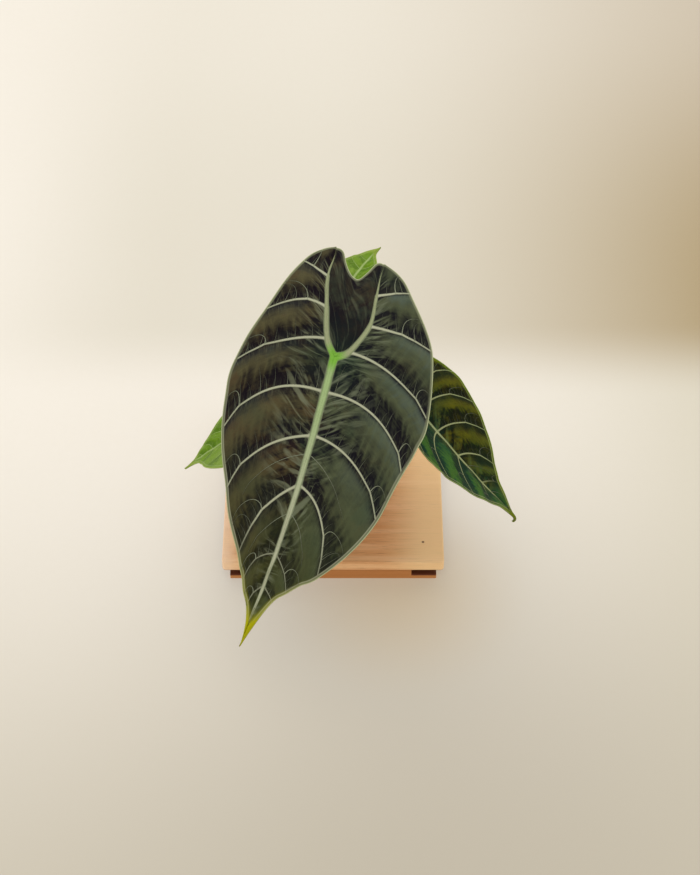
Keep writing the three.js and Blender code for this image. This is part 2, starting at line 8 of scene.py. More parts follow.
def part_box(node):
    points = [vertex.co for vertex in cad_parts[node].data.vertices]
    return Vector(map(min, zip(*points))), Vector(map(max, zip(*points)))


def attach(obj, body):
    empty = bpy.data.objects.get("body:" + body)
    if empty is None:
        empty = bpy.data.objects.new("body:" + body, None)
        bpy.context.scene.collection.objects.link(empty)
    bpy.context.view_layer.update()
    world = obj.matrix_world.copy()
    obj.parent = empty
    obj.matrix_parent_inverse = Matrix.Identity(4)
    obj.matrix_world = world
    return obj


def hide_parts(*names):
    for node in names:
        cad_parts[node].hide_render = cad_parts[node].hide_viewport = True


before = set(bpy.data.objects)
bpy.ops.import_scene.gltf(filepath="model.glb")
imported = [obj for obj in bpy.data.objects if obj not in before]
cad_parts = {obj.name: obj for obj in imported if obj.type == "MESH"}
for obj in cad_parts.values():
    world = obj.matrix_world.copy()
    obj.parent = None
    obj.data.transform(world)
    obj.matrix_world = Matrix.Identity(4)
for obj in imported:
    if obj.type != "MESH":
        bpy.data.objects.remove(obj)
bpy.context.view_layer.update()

mm = 0.001
scene = bpy.context.scene
print("frame loaded:", len(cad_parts), "nodes")


# Colours are picked as screen values and used as light values
def tone(red, green, blue):
    def light(value):
        share = value / 255
        return share / 12.92 if share <= 0.04045 else ((share + 0.055) / 1.055) ** 2.4
    return (light(red), light(green), light(blue), 1.0)


class Wire:  # a socket that can be added and multiplied
    def __init__(self, graph, socket):
        self.graph = graph
        self.socket = socket

    def sum(self, operation, *values):
        return self.graph.node("ShaderNodeMath", {"operation": operation}, values)

    def __add__(self, other):
        return self.sum("ADD", self, other)

    def __radd__(self, other):
        return self.sum("ADD", other, self)

    def __sub__(self, other):
        return self.sum("SUBTRACT", self, other)

    def __rsub__(self, other):
        return self.sum("SUBTRACT", other, self)

    def __mul__(self, other):
        return self.sum("MULTIPLY", self, other)

    def __rmul__(self, other):
        return self.sum("MULTIPLY", other, self)

    def least(self, other):
        return self.sum("MINIMUM", self, other)

    def most(self, other):
        return self.sum("MAXIMUM", self, other)

    def fraction(self):
        return self.sum("FRACT", self)

    def fade(self, start, end):  # 0 at start, 1 at end, smooth between
        values = {"Value": self, "From Min": start, "From Max": end, "To Min": 0.0, "To Max": 1.0}
        return self.graph.node("ShaderNodeMapRange", {"interpolation_type": "SMOOTHSTEP"}, values)


class Graph:  # a node tree, and one way to add a node to it
    def __init__(self, tree):
        self.tree = tree

    def node(self, kind, settings=None, values=(), out=0):
        made = self.tree.nodes.new(kind)
        for name, value in (settings or {}).items():
            setattr(made, name, value)
        pairs = values.items() if isinstance(values, dict) else enumerate(values)
        for key, value in pairs:
            if isinstance(value, Wire):
                self.tree.links.new(value.socket, made.inputs[key])
            elif value is not None:
                made.inputs[key].default_value = value
        return Wire(self, made.outputs[out])

    def attribute(self, name, out="Fac"):
        return self.node("ShaderNodeAttribute", {"attribute_name": name}, (), out)

    def place(self):
        return self.node("ShaderNodeTexCoord", None, (), "Object")

    def stretch(self, vector, scale):
        return self.node("ShaderNodeMapping", None, {"Vector": vector, "Scale": scale})

    def grain(self, vector, scale, detail=3.0, rough=0.5, warp=0.0, stretch=None):
        vector = self.stretch(vector, stretch) if stretch else vector
        values = {"Vector": vector, "Scale": scale, "Detail": detail, "Roughness": rough, "Distortion": warp}
        return self.node("ShaderNodeTexNoise", None, values)

    def cells(self, vector, scale):
        return self.node("ShaderNodeTexVoronoi", None, {"Vector": vector, "Scale": scale})

    def distance(self, vector, place):
        return self.node("ShaderNodeVectorMath", {"operation": "DISTANCE"}, (vector, place), 1)

    def mix(self, share, first, second):
        return self.node("ShaderNodeMix", {"data_type": "RGBA"}, {0: share, 6: first, 7: second}, 2)

    def split(self, vector):
        made = self.node("ShaderNodeSeparateXYZ", None, (vector,))
        return [Wire(self, socket) for socket in made.socket.node.outputs]

    def join(self, x, y, z):
        return self.node("ShaderNodeCombineXYZ", None, (x, y, z))

    def bump(self, height, strength, distance):
        values = {"Strength": strength, "Distance": distance, "Height": height}
        return self.node("ShaderNodeBump", None, values)


def newFinish(name, build, **constants):
    material = bpy.data.materials.new(name)
    material.use_nodes = True
    shader = material.node_tree.nodes["Principled BSDF"]
    for socket, value in constants.items():
        shader.inputs[socket.replace("_", " ")].default_value = value
    graph = Graph(material.node_tree)
    for socket, wire in build(graph).items():
        graph.tree.links.new(wire.socket, shader.inputs[socket])
    return material


def newPiece(name, points, faces, material, attributes=None):
    mesh = bpy.data.meshes.new(name)
    mesh.from_pydata([tuple(point) for point in points], [], faces)
    for key, values in (attributes or {}).items():
        values = np.asarray(values, dtype=np.float32)
        kind = "FLOAT" if values.ndim == 1 else "FLOAT_VECTOR"
        layer = mesh.attributes.new(key, kind, "POINT")
        layer.data.foreach_set("value" if values.ndim == 1 else "vector", values.ravel())
    mesh.polygons.foreach_set("use_smooth", [True] * len(mesh.polygons))
    mesh.materials.append(material)
    mesh.update()
    piece = bpy.data.objects.new(name, mesh)
    scene.collection.objects.link(piece)
    return piece


def evaluated(piece):  # a plain mesh of the piece with its modifiers, which are then removed
    depsgraph = bpy.context.evaluated_depsgraph_get()
    mesh = bpy.data.meshes.new_from_object(piece.evaluated_get(depsgraph))
    piece.modifiers.clear()
    piece.data = mesh
    return piece


def newTree(name, inputs):  # a tree of nodes with named inputs
    tree = bpy.data.node_groups.new(name, "GeometryNodeTree")
    tree.interface.new_socket("Geometry", in_out="OUTPUT", socket_type="NodeSocketGeometry")
    tree.interface.new_socket("Geometry", in_out="INPUT", socket_type="NodeSocketGeometry")
    for title, kind in inputs.items():
        tree.interface.new_socket(title, in_out="INPUT", socket_type="NodeSocket" + kind)
    graph = Graph(tree)
    sockets = tree.nodes.new("NodeGroupInput").outputs
    return graph, {socket.name: Wire(graph, socket) for socket in sockets if socket.name}


def closeTree(graph, shape, finish):  # real meshes with their material, because instances don't last
    whole = graph.node("GeometryNodeRealizeInstances", None, {"Geometry": shape})
    painted = graph.node("GeometryNodeSetMaterial", None, {"Geometry": whole, "Material": finish})
    output = graph.tree.nodes.new("NodeGroupOutput")
    graph.tree.links.new(painted.socket, output.inputs[0])
    return graph.tree


def grown(piece, tree, values):  # the plain mesh that a tree makes of a piece
    modifier = piece.modifiers.new(tree.name, "NODES")
    modifier.node_group = tree
    for item in tree.interface.items_tree:
        if item.in_out == "INPUT" and item.name in values:
            modifier[item.identifier] = values[item.name]
    return evaluated(piece)


# Camera and light, at the photograph's viewing angle; sizes in millimetres
cameraPlace = {"elevation": 48, "focal": 2020, "frameHeight": 875, "aim": (15.24, 74.61, 0),
               "distance": 1951.9}


def addCamera(place):
    data = bpy.data.cameras.new("camera")
    camera = bpy.data.objects.new("camera", data)
    data.lens = data.sensor_width * place["focal"] / place["frameHeight"]
    angle = math.radians(place["elevation"])
    back = Vector((0, -math.cos(angle), math.sin(angle)))
    camera.location = (Vector(place["aim"]) + back * place["distance"]) * mm
    camera.rotation_euler = (math.pi / 2 - angle, 0, 0)
    scene.collection.objects.link(camera)
    scene.camera = camera


lightPlaces = {
    "window": {"from": (-450, 850, 1450), "size": 1300, "watts": 3.4, "tint": (1.0, 0.97, 0.93)},
    "overhead": {"from": (-150, -250, 1900), "size": 1600, "watts": 3, "tint": (1.0, 0.98, 0.95)},
}
litPoint = Vector((0, 0, 100))
roomLight = {"tint": (1.0, 0.98, 0.945), "strength": 0.97}


def addLights():
    for name, place in lightPlaces.items():
        data = bpy.data.lights.new(name, "AREA")
        data.shape = "DISK"
        data.size = place["size"] * mm
        data.energy = place["watts"]
        data.color = place["tint"]
        light = bpy.data.objects.new(name, data)
        light.location = Vector(place["from"]) * mm
        light.rotation_euler = (litPoint * mm - light.location).to_track_quat("-Z", "Y").to_euler()
        scene.collection.objects.link(light)
    room = bpy.data.worlds.new("room")
    room.use_nodes = True
    shade = room.node_tree.nodes["Background"]
    shade.inputs["Color"].default_value = (*roomLight["tint"], 1)
    shade.inputs["Strength"].default_value = roomLight["strength"]
    scene.world = room
    scene.view_settings.view_transform = "Standard"


# The floor is one pale paper: its darker right, darker front and dark far right are painted shade, the far
# right standing for a wall in shade
floorLook = {
    "radius": 6, "sides": 96, "glow": 0.42, "black": tone(0, 0, 0), "mottle": tone(205, 190, 165),
    "level": tone(243, 237, 226), "levelRightShade": tone(212, 205, 184), "near": tone(196, 188, 170),
    "far": tone(242, 236, 225), "farMiddle": tone(225, 219, 204), "farRightShade": tone(156, 128, 66),
    "farCorner": tone(200, 187, 166),
    "turns": {  # where one tone passes into the next, in metres
        "levelRightShade": (0.1, 0.5), "near": (-0.6, 0.15), "farCorner": (0.25, 0.8),
        "farMiddle": (-0.42, -0.16), "farEdge": (0.35, 0.8), "farRightShade": (-0.05, 0.6), "far": (0.125, 0.235),
    },
    # painted shade: a broad shadow before the stand, and a painted warm light thrown back from the board
    "paintedShadeSpots": (  # middle, radius, share and tone
        ((0.09, -0.32, 0), 0.42, 0.3, tone(150, 140, 120)),
        ((0.06, -0.11, 0), 0.13, 0.4, tone(206, 172, 112)),
    ),
}


def addFloor(look):
    def build(g):
        place, turns = g.place(), look["turns"]
        x, y, _ = g.split(place)
        fibre = g.grain(place, 140, 4, 0.6)
        cloud = g.grain(place, 3.5, 2)
        # painted shade: darker to the right, towards the front and at the far right
        level = g.mix(x.fade(*turns["levelRightShade"]), look["level"], look["levelRightShade"])
        level = g.mix(1 - y.fade(*turns["near"]), level, look["near"])
        right = g.mix(y.fade(*turns["farCorner"]), look["farRightShade"], look["farCorner"])
        middle = x.fade(*turns["farMiddle"]) * (1 - y.fade(*turns["farEdge"]) * 0.45)
        far = g.mix(middle, look["far"], look["farMiddle"])
        far = g.mix(x.fade(*turns["farRightShade"]), far, right)
        tint = g.mix(y.fade(*turns["far"]), level, far)
        # painted shadow and painted warm bounce light, spot by spot
        for spot, radius, share, shade in look["paintedShadeSpots"]:
            tint = g.mix((1 - g.distance(place, spot).fade(0, radius)) * share, tint, shade)
        tint = g.mix((cloud - 0.5) * 0.1 + (fibre - 0.5) * 0.06 + 0.05, tint, look["mottle"])
        paint = g.mix(look["glow"], tint, look["black"])
        return {"Base Color": paint, "Emission Color": tint, "Roughness": fibre * 0.1 + 0.75,
                "Normal": g.bump(fibre, 0.08, 0.0004)}
    finish = newFinish("paleFloor", build, Specular_IOR_Level=0.15, Emission_Strength=look["glow"])
    rim = [(math.cos(turn) * look["radius"], math.sin(turn) * look["radius"], 0)
           for turn in np.linspace(0, 2 * math.pi, look["sides"], endpoint=False)]
    newPiece("floor", rim, [tuple(range(look["sides"]))], finish)


addCamera(cameraPlace)
addLights()
addFloor(floorLook)
print("camera, light and floor set")

# Leaf blades. A blade's form in the flat, in millimetres: x runs from the stalk's knot to the drip
# tip, y to the blade's right. A row is one lateral vein: its root on a main rib, a bend, and its end
# at the margin. Rows go from a basal lobe to the tip; a row with a fourth value carries no vein.
kneeRow = 5
broadForm = {
    "sinus": [(-86, -19), (-77, -13), (-70, -6), (-69, 1), (-77, 7), (-87, 12.5)],
    "right": [
        ((-88, 20), (-88, 20), (-88, 20), "plain"),
        ((-77, 20), (-81, 29), (-83, 36), "plain"),
        ((-60, 22), (-66, 34), (-72, 50)),
        ((-34, 24), (-39, 54), (-33, 83)),
        ((-8, 12), (-13, 58), (21, 95)),
        ((0, 0), (2, 60), (46, 92), "plain"),
        ((30, 0), (18, 61), (70, 85.5)),
        ((67, 0), (62, 50), (114, 76)),
        ((90, 0), (100, 36), (146, 63), "plain"),
        ((110, 0), (114, 36), (178, 43)),
        ((148, 0), (158, 24), (189, 32), "plain"),
        ((173, 0), (181, 14), (202, 21.8)),
        ((204, 0), (209, 9), (215, 12.8)),
        ((236, 0), (241, 3.4), (245, 4.4), "plain"),
        ((266, 0), (266, 0), (266, 0), "plain"),
    ],
    "left": [
        ((-87, -26), (-87, -26), (-87, -26), "plain"),
        ((-77, -25), (-79, -32), (-81, -37), "plain"),
        ((-61, -25), (-64, -37), (-66, -50.5)),
        ((-36, -18), (-42, -40), (-15, -71)),
        ((-12, -10), (-5, -46), (34, -86)),
        ((0, 0), (14, -58), (62, -85), "plain"),
        ((30, 0), (31, -58), (92, -80)),
        ((67, 0), (86, -52), (138, -60)),
        ((90, 0), (112, -44), (162, -47), "plain"),
        ((110, 0), (135, -30), (187, -31)),
        ((148, 0), (164, -24), (198, -24), "plain"),
        ((173, 0), (177, -19), (208, -19)),
        ((204, 0), (211, -8), (228, -8)),
        ((236, 0), (239, -2), (243, -3), "plain"),
        ((266, 0), (266, 0), (266, 0), "plain"),
    ],
}
fullerEdges = {10: (190, 38.5), 11: (204, 32.5), 12: (219, 23.5), 13: (244, 12)}  # the rear leaf's right
fullForm = {**broadForm, "right": [(*row[:2], fullerEdges.get(i, row[2]), *row[3:])
                                   for i, row in enumerate(broadForm["right"])]}
narrowForm = {
    "sinus": [(-44, -11), (-40, -7), (-36, -3), (-36, 2), (-40, 5), (-45, 8)],
    "right": [
        ((-47, 14), (-47, 14), (-47, 14), "plain"),
        ((-40, 13), (-43, 20), (-44, 25), "plain"),
        ((-32, 14), (-36, 25), (-37, 37)),
        ((-18, 15), (-20, 35), (-15, 51)),
        ((-4, 7), (-10, 42), (16, 62)),
        ((0, 0), (3, 36), (32, 60), "plain"),
        ((4.5, 0), (8, 37), (47, 56)),
        ((28, 0), (35, 29), (70, 44)),
        ((56, 0), (65, 19), (94, 24)),
        ((74, 0), (84, 9), (101, 18), "plain"),
        ((90, 0), (96, 10), (109, 14)),
        ((110, 0), (116, 5), (122, 8), "plain"),
        ((130, 0), (133, 2), (135, 2.5), "plain"),
        ((143, 0), (143.5, 0.8), (144, 1), "plain"),
        ((150, 0), (150, 0), (150, 0), "plain"),
    ],
    "left": [
        ((-47, -17), (-47, -17), (-47, -17), "plain"),
        ((-40, -15), (-42, -20), (-44, -26), "plain"),
        ((-32, -13), (-35, -22), (-35, -34)),
        ((-19, -10), (-24, -27), (-11, -46)),
        ((-6, -5), (-4, -36), (20, -54)),
        ((0, 0), (5, -36), (30, -54), "plain"),
        ((4.5, 0), (8, -36), (39, -52), "plain"),
        ((28, 0), (17, -34), (49, -49)),
        ((56, 0), (58, -23), (80, -33)),
        ((74, 0), (80, -16), (94, -24), "plain"),
        ((90, 0), (96, -13), (107, -15)),
        ((110, 0), (114, -6), (119, -8), "plain"),
        ((130, 0), (132, -2), (134, -3), "plain"),
        ((143, 0), (143.5, -0.8), (144, -1), "plain"),
        ((150, 0), (150, 0), (150, 0), "plain"),
    ],
}

# Where along each row its lateral has its kink, how much further out a second one lies, the size of
# each, and how pale the loop that starts there is
evenKinks = {"right": (0.62,) * 15, "left": (0.56,) * 15}
frontKinks = {
    "right": (0.6, 0.6, 0.6, 0.5, 0.79, 0.8, 0.83, 0.76, 0.72, 0.66, 0.6, 0.56, 0.55, 0.55, 0.55),
    "left": (0.6, 0.6, 0.6, 0.38, 0.69, 0.73, 0.78, 0.74, 0.62, 0.5, 0.5, 0.5, 0.5, 0.5, 0.5),
}
kinkSizes = ((0, 0.017, 0.75), (0.2, 0.006, 0.35))
kinkReach = 0.1  # how far along the lateral a kink is felt
kinkCalm = (6, 7)  # how soon kinks grow from the rib and fade at the margin

# Each leaf: where its knot is, how it points, slopes, droops, lifts, rolls, folds and curls, in
# degrees, the height of its quilting, margin waves and ribs, the half widths of its veins from first
# to last, its small folds, and how far apart its side veins are
youngLeaf = {
    "long": 0.45, "droop": 20, "lift": 12, "curl": -10, "bulge": 1.1, "wave": 0.2, "rib": 1.6,
    "tipCurl": 0, "columns": 48, "inner": 26, "costa": 1.4, "lateral": (0.6, 0.26), "gapWidth": 16,
    "folds": {"long": 9, "perGap": 4, "height": 0.3}, "netSize": 0.5, "netPale": 0.6, "cell": 4,
    "kinks": evenKinks,
}
leafPlaces = {
    "front": {
        "form": broadForm, "long": 1, "wide": 1, "knot": (2.5, -60, 249), "heading": -119, "slope": 37.5,
        "droop": 26, "lift": 16, "roll": 0, "fold": (9, 9), "curl": -14, "bow": 11, "bulge": 2.6,
        "wave": 0.9, "rib": 3.2, "tipCurl": 0, "columns": 80, "inner": 44, "midrib": (3.9, 0.8),
        "costa": 3.1, "lateral": (1.3, 0.6), "gapWidth": 36, "netSize": 1.0, "netPale": 1, "cell": 8.5,
        "folds": {"long": 20, "perGap": 4.2, "height": 1.5}, "kinks": frontKinks,
    },
    "right": {
        "form": narrowForm, "long": 1, "wide": 1, "knot": (71, -52, 179), "heading": -22, "slope": 35,
        "droop": 24, "lift": 14, "roll": -4, "fold": (13, 25), "curl": -12, "bow": -9.5, "bulge": 1.6,
        "wave": 0.4, "rib": 2.2, "tipCurl": 75, "columns": 56, "inner": 30, "midrib": (1.7, 0.5),
        "costa": 1.7, "lateral": (0.85, 0.4), "gapWidth": 22, "netSize": 0.7, "netPale": 0.5, "cell": 5,
        "folds": {"long": 14, "perGap": 4, "height": 0.7}, "kinks": evenKinks,
    },
    "left": {
        **youngLeaf, "form": broadForm, "wide": 0.52, "knot": (-47, -46, 163.5), "heading": 174,
        "slope": 33.5, "roll": -1.5, "fold": (13.5, 13.5), "bow": 2.3, "midrib": (2.0, 0.7),
    },
    "back": {
        **youngLeaf, "form": fullForm, "wide": 0.48, "knot": (-2.5, 44, 183), "heading": 67,
        "slope": -6.5, "roll": -3.5, "fold": (9, 9.5), "bow": 4, "midrib": (2.1, 0.7),
    },
}
# Shares of a gap between two rows where the fine mesh is cut, closer together at the veins
rowCuts = (0, 0.02, 0.045, 0.08, 0.13, 0.2, 0.28, 0.37, 0.46, 0.54, 0.63, 0.72, 0.8, 0.87, 0.92,
           0.955, 0.98)
# The sheet of every leaf: its thickness, how soon it thins at the margin and its waves fade at the
# midrib, how rounded veins meet, how high they stand, and how far ribs and laterals stand out below
bladeSheet = {
    "thickness": 0.8, "margin": 0.6, "thinWidth": 2.5, "tipCurlLength": 11, "lobeLean": 1.2,
    "calmWidth": 12, "ribMeet": 0.16, "veinMeet": 0.3, "ribRise": 0.26, "lateralRise": 0.4,
    "lastLaterals": 4, "lastLateral": 0.6, "netLift": 0.1, "keelTaper": 0.75, "keelWidth": 0.9,
    "strut": 0.45, "strutWidth": 0.8,
}
quilting = {"halfPower": 0.75, "innerPower": 0.8, "wavePower": 3, "waveTurn": 0.6}
linePoints = {"margin": 4000, "midrib": 2000, "costa": 1200, "lateral": 400}
# Between the basal ribs: the pattern's start, bend and reach in gaps, the widths of its combs and
# cells, and the shares of a lateral that its folds and finish take
innerPattern = {"start": 20.45, "bend": 0.12, "reach": 1.5, "comb": 60, "cell": 9, "fold": 0.3,
                "share": 0.25, "offset": 15}


def eased(start, end, leave, arrive, share):  # cubic from start to end, with its slopes there
    return (start + leave * share + (3 * end - 3 * start - 2 * leave - arrive) * share ** 2
            + (2 * start - 2 * end + leave + arrive) * share ** 3)


def through(points, at):  # smooth curve through rows of points, at a row number between two rows
    last = len(points) - 1
    at = np.clip(at, 0, last)
    low = np.minimum(np.floor(at).astype(int), last - 1)
    share = (at - low)[..., None]
    before, start, end, after = (points[np.clip(low + step, 0, last)] for step in (-1, 0, 1, 2))
    return eased(start, end, (end - before) / 2, (after - start) / 2, share)


def sizedForm(place):  # a leaf's flat form at its own size, with its whole margin as one list
    scale = np.array((place["long"], place["wide"]))
    form = {"sinus": np.array(place["form"]["sinus"]) * scale}
    for side in ("right", "left"):
        rows = place["form"][side]
        form[side] = {key: np.array([row[i] for row in rows]) * scale
                      for i, key in enumerate(("root", "bend", "edge"))}
        form[side]["plain"] = [len(row) > 3 for row in rows]
        form[side]["kinks"] = place["kinks"][side]
        form[side]["count"] = len(rows)
    right, left = form["right"], form["left"]
    form["margin"] = np.vstack([left["edge"][::-1], form["sinus"], right["edge"]])
    form["length"] = right["root"][-1, 0]
    form["lobe"] = -right["root"][0, 0]
    form["halfWidth"] = right["edge"][:, 1].max()
    return form


def ribPoint(rows, at):
    root = rows["root"]
    lobe, midrib = through(root[:kneeRow + 1], at), through(root[kneeRow:], at - kneeRow)
    return np.where((at <= kneeRow)[..., None], lobe, midrib)


def halfPoint(form, side, at, share):  # at is the row number, share runs from main rib to margin
    rows = form[side]
    marginAt = rows["count"] + len(form["sinus"]) + at if side == "right" else rows["count"] - 1 - at
    root, edge = ribPoint(rows, at), through(form["margin"], marginAt)
    bow = through(rows["bend"] - (rows["root"] + rows["edge"]) / 2, at)
    share = share[..., None]
    bend = (root + edge) / 2 + bow
    return (1 - share) ** 2 * root + 2 * share * (1 - share) * bend + share ** 2 * edge


def innerPoint(form, reach, across):  # between the basal ribs: reach from knot to sinus
    at = kneeRow * (1 - reach)
    firstSinus, span = form["left"]["count"] - 1, len(form["sinus"]) + 1
    ribs = [ribPoint(form[side], at) for side in ("left", "right")]
    ends = [form["margin"][firstSinus], form["margin"][firstSinus + span]]
    edge = through(form["margin"], firstSinus + across * span)
    shares = [rib @ end / (end @ end) for rib, end in zip(ribs, ends)]
    weights = [1 - across, across]
    point = sum(weight * share for weight, share in zip(weights, shares))[..., None] * edge
    for weight, share, rib, end in zip(weights, shares, ribs, ends):
        point = point + weight[..., None] * (rib - share[..., None] * end)
    return point


def veinPhase(rows, at):  # whole at each vein, a half more in the middle between two
    phases, count = [], 0
    for plain in rows["plain"]:
        count += not plain
        phases.append(count + 0.5 * plain)
    return np.interp(at, range(rows["count"]), phases)


def arch(share):
    return 4 * share * (1 - share)


def bladeShape(place, form):  # maps flat points, raised by some height, to their places in space
    first, last = -math.ceil(form["lobe"]) - 2, math.ceil(form["length"]) + 2

    def slopeAt(along):
        droop, lift = place["droop"] * along / form["length"], place["lift"] * along / form["lobe"]
        reach = bladeSheet["tipCurlLength"]
        curl = np.clip((along - form["length"] + reach) / reach, 0, 1)
        return np.radians(place["slope"] + np.where(along >= 0, droop, lift) + place["tipCurl"] * curl)

    steps = np.arange(first, last + 1)
    middles = slopeAt(steps[:-1] + 0.5)
    run, drop = (np.concatenate([[0], np.cumsum(part)]) for part in (np.cos(middles), np.sin(middles)))
    heading, roll = math.radians(place["heading"]), math.radians(place["roll"])
    forward = np.array((math.cos(heading), math.sin(heading), 0))
    upward = np.array((0, 0, 1.0))
    level = np.cross(upward, forward)

    def shape(flat, raised):
        along, across = flat[..., 0], flat[..., 1]
        slope = slopeAt(along)[..., None]
        face = np.sin(slope) * forward + np.cos(slope) * upward
        side = math.cos(roll) * level + math.sin(roll) * face
        normal = math.cos(roll) * face - math.sin(roll) * level
        toTip = along / form["length"]
        lean = place["bow"] * np.where(along < 0, math.pi * bladeSheet["lobeLean"] * toTip,
                                       np.sin(math.pi * np.minimum(toTip, 1)))
        fold = np.radians(np.where(across >= 0, *place["fold"]))
        curl = math.radians(place["curl"]) / form["halfWidth"]
        tilt = fold + curl * np.abs(across)
        out = (np.sin(tilt) - np.sin(fold)) / curl - np.sin(tilt) * raised
        up = (np.cos(fold) - np.cos(tilt)) / curl + np.cos(tilt) * raised
        ran = np.interp(along, steps, run - run[-first])[..., None]
        dropped = np.interp(along, steps, drop - drop[-first])[..., None]
        shift = (lean + np.where(across >= 0, 1, -1) * out)[..., None]
        middle = np.array(place["knot"]) + forward * ran - upward * dropped
        return middle + side * shift + normal * up[..., None]

    return shape


marginShare = 0.965  # where a lateral ends
costaThins = (0, 0.18, 0.22, 0.38, 0.42, 0.58, 0.62, 0.76, 0.87)  # shares of a basal rib
costaShares = (1, 0.95, 0.8, 0.72, 0.58, 0.5, 0.32, 0.18, 0.02)  # its width there


def veinLines(place, form):  # points along the three main ribs and the laterals, with half widths
    tipRow = form["right"]["count"] - 1
    points = ribPoint(form["right"], np.linspace(kneeRow + 1e-6, tipRow, linePoints["midrib"]))
    toTip = np.clip(points[:, 0] / form["length"], 0, 1)
    first, last = place["midrib"]
    wide = first + (last - first) * toTip ** 1.1
    ribs = [np.column_stack([points, wide, wide * bladeSheet["ribRise"], 0 * wide])]
    laterals = []
    for side in ("right", "left"):
        rows = form[side]
        at = np.linspace(0, kneeRow, linePoints["costa"])
        wide = place["costa"] * np.interp(1 - at / kneeRow, costaThins, costaShares)
        ribs.append(np.column_stack([ribPoint(rows, at), wide, wide * bladeSheet["ribRise"], 0 * wide + 1]))
        for row in (row for row in range(rows["count"]) if not rows["plain"][row]):
            share = np.linspace(0, marginShare, linePoints["lateral"])
            points = kinked(form, side, np.full_like(share, row), share)
            first, last = place["lateral"]
            wide = first + (last - first) * share ** 0.85
            if row >= rows["count"] - bladeSheet["lastLaterals"]:
                wide = wide * bladeSheet["lastLateral"]
            laterals.append(np.column_stack([points, wide, wide * bladeSheet["lateralRise"]]))
    return ribs, np.vstack(laterals)


def nearest(points, lines):  # distance to the nearest line point, and that point's other values
    tree = kdtree.KDTree(len(lines))
    for i, line in enumerate(lines):
        tree.insert((line[0], line[1], 0), i)
    tree.balance()
    found = [tree.find((x, y, 0)) for x, y in points]
    return np.array([hit[2] for hit in found]), lines[[hit[1] for hit in found], 2:]


def merged(ratios, reach):  # several distances as one, rounded off where they meet, and their shares
    least = np.min(ratios, axis=0)
    pulls = [np.exp((least - ratio) / reach) for ratio in ratios]
    total = sum(pulls)
    return np.maximum(least - reach * np.log(total), 0), [pull / total for pull in pulls]


smallStep = 0.01  # share of a lateral over which its direction is taken


def kinked(form, side, at, share):  # a half's flat place with the laterals' small kinks
    turn = 1 if side == "right" else -1
    flat = halfPoint(form, side, at, share)
    ahead = halfPoint(form, side, at, share + smallStep)
    ahead = ahead - halfPoint(form, side, at, share - smallStep)
    root, edge = halfPoint(form, side, at, 0 * share), halfPoint(form, side, at, 0 * share + 1)
    ahead = ahead / np.maximum(np.linalg.norm(ahead, axis=-1, keepdims=True), 1e-6)
    baseward = np.stack([-turn * ahead[..., 1], turn * ahead[..., 0]], axis=-1)
    lift = 0
    first = np.interp(at, np.arange(form[side]["count"]), form[side]["kinks"])
    for further, size, _ in kinkSizes:
        lift = lift + size * np.exp(-np.abs(share - first - further) / kinkReach)
    fromRib, fromMargin = kinkCalm
    lift = lift * np.linalg.norm(edge - root, axis=-1)
    lift = lift * np.minimum(1, fromRib * share) * np.minimum(1, fromMargin * (1 - share))
    return flat + baseward * lift[..., None]


def dome(ratio):  # half-round ridge across a vein, 1 in the middle and 0 at its edges
    return np.sqrt(np.clip(1 - ratio ** 2, 0, 1))


cellSway = {"size": 0.22, "perCell": 1.9, "perRow": 1.7}


def cellPhase(place, run, number):  # whole at each small side vein along a lateral
    reach = run / place["cell"]
    turn = cellSway["perCell"] * reach + cellSway["perRow"] * number
    return reach + cellSway["size"] * np.sin(turn) * np.minimum(1, reach)


foldShares = ((0, 0.06, 0.3, 0.65, 1), (0, 0.8, 1, 0.4, 0))  # how strong the folds are along a lateral
smallFolds = {"finer": 2.3, "height": 0.45}
foldOffsets = {"right": 0, "left": 7.3}


def crumple(place, run, phase, share, offset):  # small folds that run along the laterals
    size, folds = place["folds"], []
    for along, across in zip(run.ravel(), phase.ravel()):
        spot = Vector((along / size["long"], across * size["perGap"], offset))
        folds.append(noise.noise(spot) + smallFolds["height"] * noise.noise(spot * smallFolds["finer"]))
    folds = np.array(folds).reshape(run.shape)
    return folds * np.interp(share, *foldShares) * np.abs(np.sin(math.pi * phase))


def halfRelief(place, form, side, at, share):  # flat place, height and pattern values on a half
    rows = form[side]
    flat = kinked(form, side, at, share)
    phase = veinPhase(rows, at) + 0 * share
    root, edge = halfPoint(form, side, at, 0 * share), halfPoint(form, side, at, 0 * share + 1)
    run = share * np.linalg.norm(edge - root, axis=-1)
    quilt = place["bulge"] * np.sin(math.pi * phase) ** 2 * arch(share ** quilting["halfPower"])
    turn = 2 * math.pi * phase + quilting["waveTurn"]
    ripple = place["wave"] * share ** quilting["wavePower"] * np.cos(turn)
    narrow = np.minimum(1, np.abs(flat[..., 1]) / bladeSheet["calmWidth"])
    folds = crumple(place, run, phase, share, foldOffsets[side])
    return flat, quilt - ripple * narrow + place["folds"]["height"] * folds, phase, run, folds


def rowPlaces(count):  # the row numbers where the fine mesh is cut
    return np.array([row + cut for row in range(count) for cut in rowCuts] + [count])


def gridFaces(rows, columns, first, flip):
    corner = first + np.arange(rows * columns).reshape(rows, columns)
    a, b, c, d = corner[:-1, :-1], corner[1:, :-1], corner[1:, 1:], corner[:-1, 1:]
    turns = ((a, c, b), (a, d, c)) if flip else ((a, b, c), (a, c, d))
    return np.concatenate([np.stack([part.ravel() for part in turn], axis=1) for turn in turns])


columnCrowding = 0.11  # brings the mesh's columns closer at rib and margin


